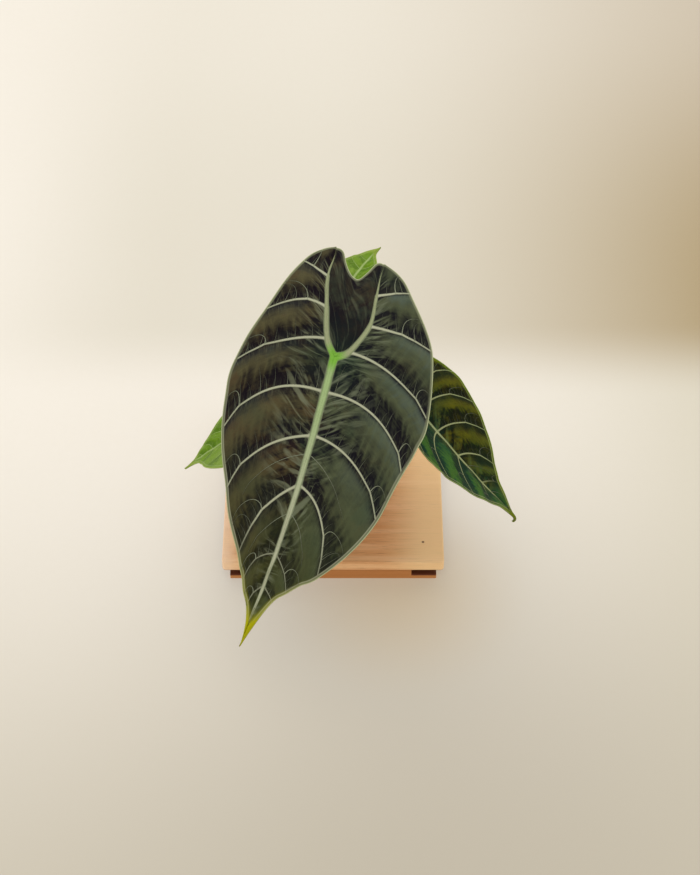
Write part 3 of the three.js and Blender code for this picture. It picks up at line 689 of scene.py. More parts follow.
def bladeSheetOf(place, form):  # the upper surface without its veins, as points, faces and values
    steps = np.linspace(0, 1, place["columns"] + 1)
    shares = steps - columnCrowding * np.sin(2 * math.pi * steps)
    parts, faces, count = [], [], 0
    for number, side in enumerate(("right", "left")):
        at, share = np.meshgrid(rowPlaces(form[side]["count"] - 1), shares, indexing="ij")
        flat, raised, phase, run, folds = halfRelief(place, form, side, at, share)
        cell = cellPhase(place, run, np.ceil(phase))
        values = [flat[..., 0], flat[..., 1], raised, phase, share, run, number + 0 * run, folds, cell]
        parts.append(np.stack([value.ravel() for value in values], axis=1))
        faces.append(gridFaces(*at.shape, count, side == "left"))
        count += at.size
    reach = 1 - rowPlaces(kneeRow) / kneeRow
    reach, across = np.meshgrid(reach[::-1], np.linspace(0, 1, place["inner"] + 1), indexing="ij")
    flat = innerPoint(form, reach, across)
    inner, swell = innerPattern, arch(reach ** quilting["innerPower"])
    quilt = place["bulge"] * np.sin(math.pi * across) ** 2 * swell
    phase = inner["start"] - inner["bend"] * np.sin(math.pi * across) + inner["reach"] * reach
    run = across * inner["comb"]
    folds = crumple(place, run, phase, inner["fold"] + 0 * run, inner["offset"]) * arch(across) * swell
    quilt = quilt + place["folds"]["height"] * folds
    values = [flat[..., 0], flat[..., 1], quilt, phase, inner["share"] + 0 * run, run, 2 + 0 * run, folds,
              run / inner["cell"]]
    parts.append(np.stack([value.ravel() for value in values], axis=1))
    faces.append(gridFaces(*reach.shape, count, True))
    table, faces = np.vstack(parts), np.vstack(faces)
    keys = np.round(table[:, :2] * 100 + 0.2).astype(int)
    _, first, same = np.unique(keys, axis=0, return_index=True, return_inverse=True)
    faces = same.ravel()[faces]
    whole = (faces[:, 0] != faces[:, 1]) & (faces[:, 1] != faces[:, 2]) & (faces[:, 2] != faces[:, 0])
    return table[first], faces[whole]


def pointNormals(points, faces):
    a, b, c = (points[faces[:, i]] for i in range(3))
    normals = np.zeros_like(points)
    turned = np.cross(b - a, c - a)
    for i in range(3):
        np.add.at(normals, faces[:, i], turned)
    return normals / np.maximum(np.linalg.norm(normals, axis=1, keepdims=True), 1e-9)


halfSpacing = 40  # keeps the patterns of the two halves apart


def rimEdges(faces):  # edges that only one triangle has, in its own direction
    edges = {(a, b) for face in faces.tolist() for a, b in zip(face, face[1:] + face[:1])}
    return [(a, b) for a, b in edges if (b, a) not in edges]


def addBlade(name, place, finish):
    form = sizedForm(place)
    shape = bladeShape(place, form)
    table, faces = bladeSheetOf(place, form)
    flat = table[:, :2]
    raised, phase, share, run, half, folds, cell = table[:, 2:].T
    ribs, laterals = veinLines(place, form)
    found = [nearest(flat, line) for line in ribs]
    ribRatio, pulls = merged([far / size[:, 0] for far, size in found], bladeSheet["ribMeet"])
    ribSize = sum(pull[:, None] * size for pull, (_, size) in zip(pulls, found))
    veinFar, veinSize = nearest(flat, laterals)
    veinRatio, _ = merged([veinFar / veinSize[:, 0], ribRatio], bladeSheet["veinMeet"])
    marginAt = np.linspace(0, len(form["margin"]) - 1, linePoints["margin"])
    rim, _ = nearest(flat, np.column_stack([through(form["margin"], marginAt), marginAt]))
    base = shape(flat, raised)
    normals = pointNormals(shape(flat, 0 * raised), faces)
    thin = np.clip(rim / bladeSheet["thinWidth"], 0, 1)  # ridges and thickness fade out at the margin
    ridge = np.maximum(ribSize[:, 1] * dome(ribRatio), veinSize[:, 1] * dome(veinRatio)) * thin
    toTip = np.where(flat[:, 0] > 0, flat[:, 0] / form["length"], -flat[:, 0] / form["lobe"])
    keel = place["rib"] * (1 - bladeSheet["keelTaper"] * toTip) * dome(ribRatio * bladeSheet["keelWidth"])
    strut = place["rib"] * bladeSheet["strut"] * (1 - share) * dome(veinRatio * bladeSheet["strutWidth"])
    sheet = bladeSheet["margin"] + (bladeSheet["thickness"] - bladeSheet["margin"]) * thin
    depth = sheet + np.maximum(keel, strut) * thin
    upper = base + normals * ridge[:, None]
    lower = base - normals * depth[:, None]
    count = len(table)
    walls = []
    for a, b in rimEdges(faces):
        walls += [(b, a, a + count), (b, a + count, b + count)]
    allFaces = faces.tolist() + (faces[:, ::-1] + count).tolist() + walls
    attributes = {
        "rib": ribRatio, "vein": veinRatio, "veinFar": veinFar, "rim": rim, "phase": phase, "share": share,
        "folds": folds, "costa": ribSize[:, 2], "cell": cell,
        "comb": np.column_stack([run, phase * place["gapWidth"], half * halfSpacing]),
        "flat": np.column_stack([flat, half]) / place["long"],
    }
    attributes = {key: np.concatenate([values, values]) for key, values in attributes.items()}
    attributes["under"] = np.repeat([0.0, 1.0], count)
    piece = newPiece(name, np.vstack([upper, lower]) * mm, allFaces, finish, attributes)
    print(name, len(allFaces), "triangles")
    return piece


def tubeTree():  # a round tube along each line, as thick as the line says
    graph, given = newTree("veinTubes", {"Sides": "Int", "Finish": "Material"})
    line = graph.node("GeometryNodeMeshToCurve", None, {"Mesh": given["Geometry"]})
    thick = graph.node("GeometryNodeInputNamedAttribute", {"data_type": "FLOAT"}, {"Name": "thick"})
    ring = {"Resolution": given["Sides"], "Radius": 1.0}
    ring = graph.node("GeometryNodeCurvePrimitiveCircle", None, ring)
    tube = graph.node("GeometryNodeCurveToMesh", None,
                      {"Curve": line, "Profile Curve": ring, "Scale": thick, "Fill Caps": True})
    tube = graph.node("GeometryNodeSetShadeSmooth", None, {"Geometry": tube, "Shade Smooth": True})
    return closeTree(graph, tube, given["Finish"])


netLook = {
    "loop": {"shortest": 14, "lastStart": 0.9, "thick": (0.2, 0.12), "perKink": 14, "hurry": 1.7,
             "reach": 0.6, "narrowing": 0.28},
    "side": {"lift": 0.4, "sway": 0.12, "drift": 0.05, "last": 0.97, "thick": (0.26, 0.07), "pale": 0.3,
             "liftTurns": (3.3, 1.7), "paleTurn": 2.1},
    "plain": {"from": -0.35, "drift": 0.3, "start": 0.02, "reach": 0.7, "thick": (0.38, 0.1), "pale": 0.6},
    "steps": 14, "sides": 5, "fade": 0.6,
}


def netPaths(place, form, side):  # fine veins as row numbers, shares, radii and how pale they are
    rows = form[side]
    phases = veinPhase(rows, np.arange(rows["count"]))
    paths = []
    tau = np.linspace(0, 1, netLook["steps"])
    for row in (row for row in range(rows["count"]) if not rows["plain"][row]):
        long = np.linalg.norm(rows["edge"][row] - rows["root"][row])
        backward = [row - 1, row]  # towards the base of the leaf
        look = netLook["loop"]
        for further, size, pale in kinkSizes:
            start = rows["kinks"][row] + further
            if start > look["lastStart"] or long * pale < look["shortest"]:
                continue
            share = start + (marginShare - start) * tau ** look["hurry"]
            reach = look["reach"] - look["narrowing"] * start
            phase = phases[row] - reach * (1 - (1 - tau) ** 2)
            at = np.interp(phase, phases[backward], backward)
            thick = (look["thick"][0] + look["perKink"] * size, look["thick"][1])
            paths.append((at, share, thick, pale))
        look = netLook["side"]
        reaches = np.linspace(0, long, 300)
        cells = cellPhase(place, reaches, phases[row])
        for tick in range(1, int(cells[-1]) + 1):
            start = np.interp(tick, cells, reaches) / long
            perTick, perRow = look["liftTurns"]
            lift = look["lift"] + look["sway"] * math.sin(tick * perTick + row * perRow)
            share = np.minimum(start + look["drift"] * tau ** 2, look["last"])
            phase = phases[row] - lift * tau
            at = np.interp(phase, phases[backward], backward)
            pale = look["pale"] + look["sway"] * math.sin(tick * look["paleTurn"] + row)
            paths.append((at[::2], share[::2], look["thick"], pale))
    look = netLook["plain"]
    for row in (row for row in range(kneeRow + 1, rows["count"] - 2) if rows["plain"][row]):
        at = row + look["from"] + look["drift"] * tau ** 2
        paths.append((at, look["start"] + look["reach"] * tau, look["thick"], look["pale"]))
    return paths


def addNet(name, place, tree, finish):  # the fine veins of one leaf
    form = sizedForm(place)
    shape = bladeShape(place, form)
    points, edges, thick, pale = [], [], [], []
    for side in ("right", "left"):
        for at, share, (start, end), bright in netPaths(place, form, side):
            flat, raised, *_ = halfRelief(place, form, side, at, share)
            first = len(points)
            points += list(shape(flat, raised + bladeSheet["netLift"]) * mm)
            edges += [(first + i, first + i + 1) for i in range(len(at) - 1)]
            along = np.linspace(0, 1, len(at))
            thick += list((start + (end - start) * along) * place["netSize"] * mm)
            pale += list(bright * place["netPale"] * (1 - netLook["fade"] * along))
    mesh = bpy.data.meshes.new(name)
    mesh.from_pydata([tuple(point) for point in points], edges, [])
    for key, values in (("thick", thick), ("pale", pale)):
        mesh.attributes.new(key, "FLOAT", "POINT").data.foreach_set("value", values)
    piece = bpy.data.objects.new(name, mesh)
    scene.collection.objects.link(piece)
    grown(piece, tree, {"Sides": netLook["sides"], "Finish": finish})
    print(name, len(piece.data.polygons), "faces")
    return piece


# Blade looks: dark and light of each half (the halves set apart partly as painted light), the tones of
# veins, painted rim highlight, tip and underside, how strong the wedges, strokes, hairs, haze and painted
# sheen are, and where across a gap the painted light on each bulge swells
bladeLooks = {
    "matureBlade": {
        "dark": (tone(18, 11, 18), tone(14, 12, 20)), "light": (tone(80, 75, 48), tone(75, 82, 57)),
        "bruise": tone(66, 45, 28), "cool": tone(30, 56, 42), "haze": tone(116, 122, 100),
        "lower": tone(60, 66, 24), "lateral": tone(178, 180, 152), "midrib": tone(152, 178, 118),
        "ribSide": tone(92, 108, 72), "costa": tone(150, 156, 118), "knot": tone(112, 172, 44),
        "rimLine": tone(176, 182, 142), "rimHighlight": tone(122, 126, 98), "tip": tone(168, 166, 10),
        "crestSheen": tone(82, 80, 60), "sheen": tone(88, 102, 96), "under": tone(92, 58, 66),
        "underVein": tone(150, 160, 110), "wedge": 0.18, "stroke": 0.4, "hair": 0.35, "hazeShare": 1,
        "sheenShare": 0.4, "crestShares": (0.1, 0.1), "swell": (0.0, 0.36, 0.14, 0.36, 0.86),
        "inner": 0.36, "rimShares": (0.8, 0.75), "rimReach": (1.5, 2.6), "lastVeins": 0.5, "rough": 0.48,
    },
    "sideBlade": {
        "dark": (tone(8, 44, 30), tone(16, 20, 2)), "light": (tone(20, 74, 50), tone(88, 82, 6)),
        "bruise": tone(50, 44, 8), "cool": tone(12, 56, 34), "haze": tone(84, 110, 62),
        "lower": tone(24, 68, 40), "lateral": tone(162, 166, 120), "midrib": tone(160, 168, 124),
        "ribSide": tone(90, 112, 62), "costa": tone(140, 152, 104), "knot": tone(112, 162, 50),
        "rimLine": tone(146, 160, 96), "rimHighlight": tone(98, 116, 4), "tip": tone(104, 116, 20),
        "crestSheen": tone(76, 118, 26), "sheen": tone(60, 84, 40), "under": tone(84, 66, 56),
        "underVein": tone(150, 160, 104), "wedge": 0.12, "stroke": 0.3, "hair": 0.15, "hazeShare": 0.5,
        "sheenShare": 0.15, "crestShares": (0.55, 0.1), "swell": (0.1, 0.4, 0.4, 0.42, 0.7),
        "inner": 0.8, "rimShares": (0.12, 0.92), "rimReach": (1.0, 4.4), "lastVeins": 0.85, "rough": 0.48,
    },
    "youngBlade": {
        "dark": (tone(74, 112, 0), tone(88, 118, 36)), "light": (tone(104, 142, 0), tone(136, 162, 74)),
        "bruise": tone(76, 102, 0), "cool": tone(90, 124, 4), "haze": tone(136, 162, 60),
        "lower": tone(94, 130, 10), "lateral": tone(156, 176, 110), "midrib": tone(162, 186, 122),
        "ribSide": tone(120, 152, 74), "costa": tone(150, 174, 106), "knot": tone(150, 186, 84),
        "rimLine": tone(160, 176, 96), "rimHighlight": tone(118, 148, 50), "tip": tone(136, 156, 60),
        "crestSheen": tone(112, 150, 14), "sheen": tone(130, 160, 20), "under": tone(118, 142, 66),
        "underVein": tone(168, 186, 112), "wedge": 0.1, "stroke": 0.3, "hair": 0.15, "hazeShare": 0.2,
        "sheenShare": 0.1, "crestShares": (0.2, 0.2), "swell": (0.0, 0.1, 0.1, 0.4, 0.8),
        "inner": 0.9, "rimShares": (0.75, 0.75), "rimReach": (1.3, 2.6), "lastVeins": 0.2, "rough": 0.46,
    },
}
# Grains of a blade: what they run over, and their scale, detail, roughness, warp and stretch
bladeGrains = {
    "cloud": ("flat", 0.03, 3, 0.6, 0.8), "patch": ("flat", 0.085, 3, 0.6, 1.2),
    "coolness": ("flat", 0.022, 2, 0.5, 0.4, (1, 1, 3)), "pores": ("flat", 1.4, 3, 0.65),
    "sweep": ("comb", 1, 4, 0.6, 0.9, (0.055, 0.34, 1)), "plumes": ("slant", 1, 3, 0.5, 1.3),
    "strokes": ("comb", 1, 4, 0.65, 0.5, (0.62, 0.06, 1)),
    "hairs": ("comb", 1, 2, 0.6, 0.3, (2.2, 0.12, 1)),
}
# Where one look passes into the next: in millimetres, vein widths, or shares of a gap or lateral
bladeTurns = {
    "inner": (1.4, 1.8), "half": (-10, 10), "nearRib": (0.12, 0.55), "brown": (0.48, 0.72),
    "coolPatch": (0.5, 0.66), "coolKnot": (8, 44), "crestSheen": (0.1, 0.5), "sheenStart": (0.02, 0.08),
    "sheenEnd": (0.12, 0.42), "sheenOut": (0.2, 0.6), "nearVein": (0.8, 10), "fleck": (0.48, 0.68),
    "plume": (0.5, 0.68), "lineIn": (1.7, 2.2), "lineOut": (2.5, 3.1), "wornVein": (0.2, 1.0),
    "wornOut": (0.4, 1.0), "lateral": (0.55, 1.3), "ribSide": (0.35, 1.0), "knot": (3, 15),
    "rib": (0.72, 1.18), "rimLine": (0.3, 0.9), "tipRim": (1.2, 5), "backRib": (0.7, 1.15),
    "backVein": (0.6, 1.3),
}
# The same along the whole blade, in shares of its length
lengthTurns = {
    "lower": (0.3, 0.9), "sheen": (0.1, 0.5), "rimLine": (-0.1, 0.5), "lastVeins": (0.54, 0.68),
    "midrib": (0, 0.6), "tip": (0.84, 0.95), "tipRim": (0.6, 1),
}
plumeSlant = {"along": 0.03, "lean": 0.7, "across": 0.14}
bladeFields = ("rib", "vein", "veinFar", "rim", "phase", "share", "folds", "costa", "cell", "under")


def bladeFinish(name, look, length):
    def build(g):
        rib, vein, veinFar, rim, phase, share, folds, costa, cell, under = (
            g.attribute(key) for key in bladeFields)
        comb, flat = (g.attribute(key, "Vector") for key in ("comb", "flat"))
        along, across, half = g.split(flat)
        run, over, part = g.split(comb)
        leant = over + run * plumeSlant["lean"]
        slant = g.join(run * plumeSlant["along"], leant * plumeSlant["across"], part)
        fields = {"comb": comb, "flat": flat, "slant": slant}
        grains = {key: g.grain(fields[field], *values) for key, (field, *values) in bladeGrains.items()}
        cloud, patch, pores, sweep, strokes, hairs = (
            grains[key] for key in ("cloud", "patch", "pores", "sweep", "strokes", "hairs"))

        def turn(wire, key):
            return wire.fade(*bladeTurns[key])

        def onward(key):
            start, end = lengthTurns[key]
            return along.fade(start * length, end * length)

        # painted light and shade on each gap's bulge, partly the leaf's own tone: lighter where it rises
        # beyond a vein, darker before the next, with ragged wedges at its far side
        gap = phase.fraction()
        wedge = cell.fraction()
        wedge = wedge * (1 - wedge) * 4
        ragged = gap + (strokes - 0.5) * 0.2 + (patch - 0.5) * 0.8 + (wedge - 0.6) * look["wedge"]
        inner = turn(half, "inner")
        rightHalf = turn(across * (1 - inner) + (patch - 0.5) * 60, "half")

        def byHalf(left, right):
            return left * (1 - rightHalf) + right * rightHalf

        rise, leftCrest, rightCrest, fall, end = look["swell"]
        swell = byHalf(gap.fade(rise, leftCrest), gap.fade(rise, rightCrest))
        swell = swell * (1 - ragged.fade(fall, end))
        nearRib = 1 - turn(share, "nearRib")
        value = swell * (0.86 - nearRib * 0.3) + 0.04
        # painted light on the small folds: lighter where they rise
        value = value + (sweep - 0.5) * (0.7 + nearRib * 0.8) + folds * 0.6
        value = value + (grains["plumes"] - 0.5) * nearRib * 3.2 + (patch - 0.5) * 0.9
        value = value + (strokes - 0.5) * look["stroke"] * (1 - nearRib * 0.7)
        value = value + (hairs - 0.5) * look["hair"]
        value = (value * (0.5 + cloud) * (1 - inner * (1 - look["inner"]))).least(1).most(0)
        # the halves' dark and light differ partly as painted light, one half more lit than the other
        tint = g.mix(value, g.mix(rightHalf, *look["dark"]), g.mix(rightHalf, *look["light"]))

        # brown and cool patches, painted sheen on the olive crests, and a painted sheen tipward of the veins
        brown = turn(cloud + (sweep - 0.5) * 0.3, "brown") * (1 - rightHalf * 0.6) * (0.2 + value * 0.4)
        tint = g.mix(brown.least(1), tint, look["bruise"])
        knot = g.distance(g.stretch(flat, (1, 1, 0)), (0, 0, 0))
        cool = turn(grains["coolness"], "coolPatch") * 0.3 + (1 - turn(knot, "coolKnot")) * 0.75
        tint = g.mix((cool * (0.3 + value * 0.6)).least(0.8), tint, look["cool"])
        tint = g.mix(onward("lower") * (0.35 + swell * 0.4), tint, look["lower"])
        # painted sheen along each bulge's crest, partly the leaf's own paler tone
        crested = (ragged - 0.45) * 4
        crests = byHalf(*look["crestShares"]) * (1 - (crested * crested).least(1)) * turn(share, "crestSheen")
        tint = g.mix(crests, tint, look["crestSheen"])
        # painted sheen: a paler band just tipward of each vein, stronger on the right half and fading towards
        # the tip
        tipwards = turn(gap, "sheenStart") * (1 - turn(ragged * 0.6 + gap * 0.4, "sheenEnd"))
        sheen = tipwards * turn(share, "sheenOut") * (1 - onward("sheen") * 0.85)
        sheen = sheen * look["sheenShare"] * (0.3 + rightHalf * 0.7)
        tint = g.mix(sheen * (cloud * 2 - 0.2).most(0), tint, look["sheen"])

        # pale flecks beside the veins, plumes of painted sheen beside the ribs, and the rim, its band a
        # painted highlight
        near = (1 - turn(veinFar, "nearVein")) * (1 - nearRib * 0.5)
        flecks = near * turn(strokes * 0.5 + hairs * 0.5, "fleck") * 0.3
        tint = g.mix(flecks * look["hazeShare"], tint, look["haze"])
        # painted sheen: pale plumes beside the ribs
        plumed = nearRib * turn(grains["plumes"], "plume") * (1 - inner * 0.6) * 0.55
        tint = g.mix(plumed * look["hazeShare"], tint, look["haze"])
        # painted highlight: a pale band along the rim, as light catching its curl
        band = byHalf(*look["rimShares"]) * (1 - rim.fade(*look["rimReach"]))
        tint = g.mix(band, tint, look["rimHighlight"])
        rimVein = turn(rim, "lineIn") * (1 - turn(rim, "lineOut")) * onward("rimLine")
        tint = g.mix(rimVein * 0.5, tint, look["lateral"])

        # laterals, ribs and their knot
        worn = turn(vein, "wornVein") * 0.4 + (pores - 0.5) * 0.5 + turn(share, "wornOut") * 0.35
        lateral = g.mix(worn.least(1).most(0), look["lateral"], look["haze"])
        feathered = vein + (strokes - 0.5) * 0.5 + (hairs - 0.5) * 0.35
        last = 1 - onward("lastVeins") * look["lastVeins"]
        tint = g.mix((1 - turn(feathered, "lateral")) * 0.94 * last, tint, lateral)
        midrib = g.mix(onward("midrib"), look["midrib"], look["lateral"])
        midrib = g.mix(costa, midrib, look["costa"])
        midrib = g.mix(turn(rib, "ribSide") * 0.75 + (sweep - 0.5) * 0.5, midrib, look["ribSide"])
        midrib = g.mix((1 - turn(knot, "knot")) * 0.9, midrib, look["knot"])
        soft = rib + (strokes - 0.5) * 0.22 + (hairs - 0.5) * 0.2
        tint = g.mix((1 - turn(soft, "rib")) * 0.97, tint, midrib)
        tint = g.mix(1 - turn(rim, "rimLine"), tint, look["rimLine"])
        edgeward = onward("tipRim") * (1 - turn(rim, "tipRim"))
        tint = g.mix((onward("tip") + edgeward * 0.7).least(1), tint, look["tip"])

        # underside
        backVeins = (1 - turn(rib, "backRib")).most(1 - turn(vein, "backVein"))
        back = g.mix(backVeins, look["under"], look["underVein"])
        back = g.mix(sweep * 0.35, back, look["underVein"])
        tint = g.mix(under, tint, back)
        height = strokes * 0.5 + pores * 0.3 + sweep * 0.9 + hairs * 0.25
        rough = look["rough"] + (sweep - 0.5) * 0.25 + (pores - 0.5) * 0.15 + under * 0.15
        return {"Base Color": tint, "Roughness": rough, "Normal": g.bump(height, 0.5, 0.0008)}

    return newFinish(name, build, Specular_IOR_Level=0.06)


def netFinish(name, tones):
    def build(g):
        pale = g.attribute("pale")
        fleck = g.grain(g.place(), 700, 2)
        tint = g.mix((pale + (fleck - 0.5) * 0.3).least(1).most(0), *tones)
        return {"Base Color": tint, "Roughness": 0.5 + fleck * 0.2}

    return newFinish(name, build, Specular_IOR_Level=0.2)


bladeFinishes = {
    "front": bladeFinish("matureBlade", bladeLooks["matureBlade"], 266),
    "right": bladeFinish("sideBlade", bladeLooks["sideBlade"], 150),
    "left": bladeFinish("youngBlade", bladeLooks["youngBlade"], 266),
    "back": bladeFinish("youngBladeBack", bladeLooks["youngBlade"], 266),
}
bladeSlots = {"front": "blade_dark", "right": "blade_dark", "left": "blade_young", "back": "blade_young"}
veinTubes = tubeTree()
netFinishes = {
    "blade_dark": netFinish("fineVeins", (tone(40, 42, 32), tone(152, 158, 132))),
    "blade_young": netFinish("fineVeinsYoung", (tone(112, 144, 46), tone(158, 184, 108))),
}
for name, place in leafPlaces.items():
    blade = addBlade("leaf" + name.title(), place, bladeFinishes[name])
    net = addNet("veins" + name.title(), place, veinTubes, netFinishes[bladeSlots[name]])
    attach(blade, "root")
    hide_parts("leaf_" + name)
    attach(net, "root")
print("blades made")

# Leaf stalks: where each leaves the soil, a point that it bows through, and its radii
stalkPlaces = {
    "front": {"foot": (1, -12), "bowTo": (0, -26, 168), "base": 7, "middle": 4.6, "top": 4.2},
    "right": {"foot": (14, 1), "bowTo": (38, -17, 143), "base": 5.6, "middle": 3.6, "top": 3.1},
    "left": {"foot": (-13, -1), "bowTo": (-25, -16, 134), "base": 5, "middle": 3.2, "top": 2.7},
    "back": {"foot": (0, 13), "bowTo": (1, 21, 140), "base": 5, "middle": 3, "top": 2.6},
}
# Sizes along and around a stalk; pairs are shares of its length between which it changes
stalkSize = {
    "buried": 34, "approach": 19, "intoBlade": 2.4, "steps": 110, "sides": 40, "toMiddle": (0.3, 0.62),
    "toTop": (0.62, 0.9), "toFlare": (0.93, 1), "flare": 0.14, "sheathEnd": (0.4, 0.7), "groove": 0.34,
    "lip": 0.1, "lipTurn": 0.62, "lipWidth": 0.16, "ridge": 0.012, "ridges": 9,
}
soilBelowRim = 9
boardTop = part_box("stand_board")[1].z / mm
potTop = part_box("pot")[1].z / mm
soilTop = potTop - soilBelowRim


def smooth(value, start, end):
    share = np.clip((value - start) / (end - start), 0, 1)
    return share * share * (3 - 2 * share)


def roundedPath(points, count):  # centripetal curve through points, at even steps
    points = np.vstack([2 * points[0] - points[1], points, 2 * points[-1] - points[-2]])
    pieces = []
    for before, start, end, after in zip(points, points[1:], points[2:], points[3:]):
        pairs = ((before, start), (start, end), (end, after))
        gaps = [math.sqrt(np.linalg.norm(b - a)) for a, b in pairs]
        leave = (start - before) / gaps[0] - (end - before) / (gaps[0] + gaps[1]) + (end - start) / gaps[1]
        arrive = (end - start) / gaps[1] - (after - start) / (gaps[1] + gaps[2]) + (after - end) / gaps[2]
        shares = np.linspace(0, 1, 200)[:, None]
        pieces.append(eased(start, end, leave * gaps[1], arrive * gaps[1], shares))
    line = np.vstack(pieces)
    ran = np.concatenate([[0], np.cumsum(np.linalg.norm(np.diff(line, axis=0), axis=1))])
    even = np.linspace(0, ran[-1], count)
    return np.column_stack([np.interp(even, ran, line[:, axis]) for axis in range(3)])


def ringFaces(rings):  # faces between each ring of point numbers and the next
    turned = np.roll(rings, -1, axis=1)
    corners = [rings[:-1], turned[:-1], turned[1:], rings[1:]]
    return np.stack(corners, axis=-1).reshape(-1, 4).tolist()


def addStalk(name, place, leaf, finish):
    size = stalkSize
    shape = bladeShape(leaf, sizedForm(leaf))
    knot = np.zeros((1, 2))
    top = shape(knot, np.array([-size["intoBlade"]]))[0]
    up = shape(knot, np.array([1.0]))[0] - shape(knot, np.array([0.0]))[0]
    foot = np.array((*place["foot"], soilTop))
    route = [foot - (0, 0, size["buried"]), foot, place["bowTo"], top - up * size["approach"], top]
    steps, sides = size["steps"], size["sides"]
    path = roundedPath(np.array(route, float), steps)
    along = np.gradient(path, axis=0)
    along /= np.linalg.norm(along, axis=1, keepdims=True)
    inward = -foot * (1, 1, 0)
    toCrown = inward - along * (along @ inward)[:, None]
    toCrown /= np.linalg.norm(toCrown, axis=1, keepdims=True)
    side = np.cross(along, toCrown)
    share = np.linspace(0, 1, steps)
    radius = place["base"] + (place["middle"] - place["base"]) * smooth(share, *size["toMiddle"])
    radius = radius + (place["top"] - radius) * smooth(share, *size["toTop"])
    radius = radius * (1 + size["flare"] * smooth(share, *size["toFlare"]))
    turn = np.linspace(0, 2 * math.pi, sides, endpoint=False)
    sheath = 1 - smooth(share, *size["sheathEnd"])[:, None]
    groove = size["groove"] * sheath * np.maximum(0, np.cos(turn)) ** 8
    fromLip = np.abs(turn - math.pi) - (math.pi - size["lipTurn"])
    lips = size["lip"] * sheath * np.exp(-(fromLip / size["lipWidth"]) ** 2)
    ridges = size["ridge"] * np.cos(size["ridges"] * turn)[None, :]
    reach = radius[:, None] * (1 - groove + lips + ridges)
    points = (path[:, None] + toCrown[:, None] * (np.cos(turn) * reach)[..., None]
              + side[:, None] * (np.sin(turn) * reach)[..., None])
    ring = np.arange(steps * sides).reshape(steps, sides)
    faces = ringFaces(ring) + [ring[0][::-1].tolist(), ring[-1].tolist()]
    attributes = {"share": np.repeat(share, sides), "turn": np.tile(np.sin(turn), steps),
                  "crown": np.tile(np.cos(turn), steps)}
    return newPiece("stalk" + name.title(), points.reshape(-1, 3) * mm, faces, finish, attributes)


stalkLook = {
    "green": tone(118, 148, 62), "pale": tone(166, 186, 108), "mottle": tone(92, 84, 52),
    "foot": tone(186, 178, 140), "knot": tone(150, 190, 84), "mottled": (0.52, 0.62),
    "footEnd": (0.22, 0.36), "knotStart": (0.93, 1.0),
}


def stalkFinish(look):
    def build(g):
        place = g.place()
        share, crown, turn = (g.attribute(key) for key in ("share", "crown", "turn"))
        lines = g.grain(g.join(share * 6, turn * 14, crown * 14), 1, 3, 0.6)
        mottle = g.grain(place, 420, 3, 0.6, 0.3, (1, 1, 0.35))
        tint = g.mix(lines, look["green"], look["pale"])
        tint = g.mix(mottle.fade(*look["mottled"]) * (0.75 - share * 0.35), tint, look["mottle"])
        tint = g.mix((1 - share.fade(*look["footEnd"])) * 0.65, tint, look["foot"])
        tint = g.mix(share.fade(*look["knotStart"]) * 0.6, tint, look["knot"])
        height = lines * 0.6 + mottle * 0.4
        return {"Base Color": tint, "Roughness": 0.42 + mottle * 0.2, "Normal": g.bump(height, 0.3, 0.0005)}

    return newFinish("mottledStalk", build)


mottledStalk = stalkFinish(stalkLook)
for name, place in stalkPlaces.items():
    stalk = addStalk(name, place, leafPlaces[name], mottledStalk)
    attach(stalk, "root")
    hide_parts("stalk_" + name)
print("stalks made")

# Terracotta pot, turned about its axis
potPlace = {
    "height": 84, "topRadius": 50, "baseRadius": 33, "band": 16, "bandStep": 3, "lip": 1.5,
    "thickness": 4.5, "floor": 5, "drainRadius": 6, "sides": 144, "step": 2.2,
    "cornerRadii": (0.8, 1.8, 0.8, 1.2, 1.8, 1.8, 2, 3, 0.8),
    "bandLean": (0.7, 0.4), "innerStep": 1, "even": 4, "floorWidth": 20,
    # the unevenness of hand-thrown clay, and the fine rings of the wheel
    "wobble": 0.12, "wobbles": 1.3, "wobbleHeight": 22, "turned": 0.05, "turnedPer": 2.4, "sway": 0.3,
}


def potWall(height):
    share = height / (potPlace["height"] - potPlace["band"])
    base, top = potPlace["baseRadius"], potPlace["topRadius"] - potPlace["bandStep"]
    return base + (top - base) * share


def roundedOutline(corners, radii, cuts=5):  # a closed outline whose corners are rounded
    corners, outline = np.array(corners, float), []
    for corner, before, after, radius in zip(
            corners, np.roll(corners, 1, axis=0), np.roll(corners, -1, axis=0), radii):
        start, end = (corner + (other - corner) / np.linalg.norm(other - corner) * radius
                      for other in (before, after))
        for t in np.linspace(0, 1, cuts):
            outline.append((1 - t) ** 2 * start + 2 * t * (1 - t) * corner + t * t * end)
    return np.array(outline)


def divided(outline, step):  # the same outline with points no further apart than a step
    points = []
    for start, end in zip(outline, np.roll(outline, -1, axis=0)):
        count = max(1, math.ceil(np.linalg.norm(end - start) / step))
        points += [start + (end - start) * i / count for i in range(count)]
    return np.array(points)


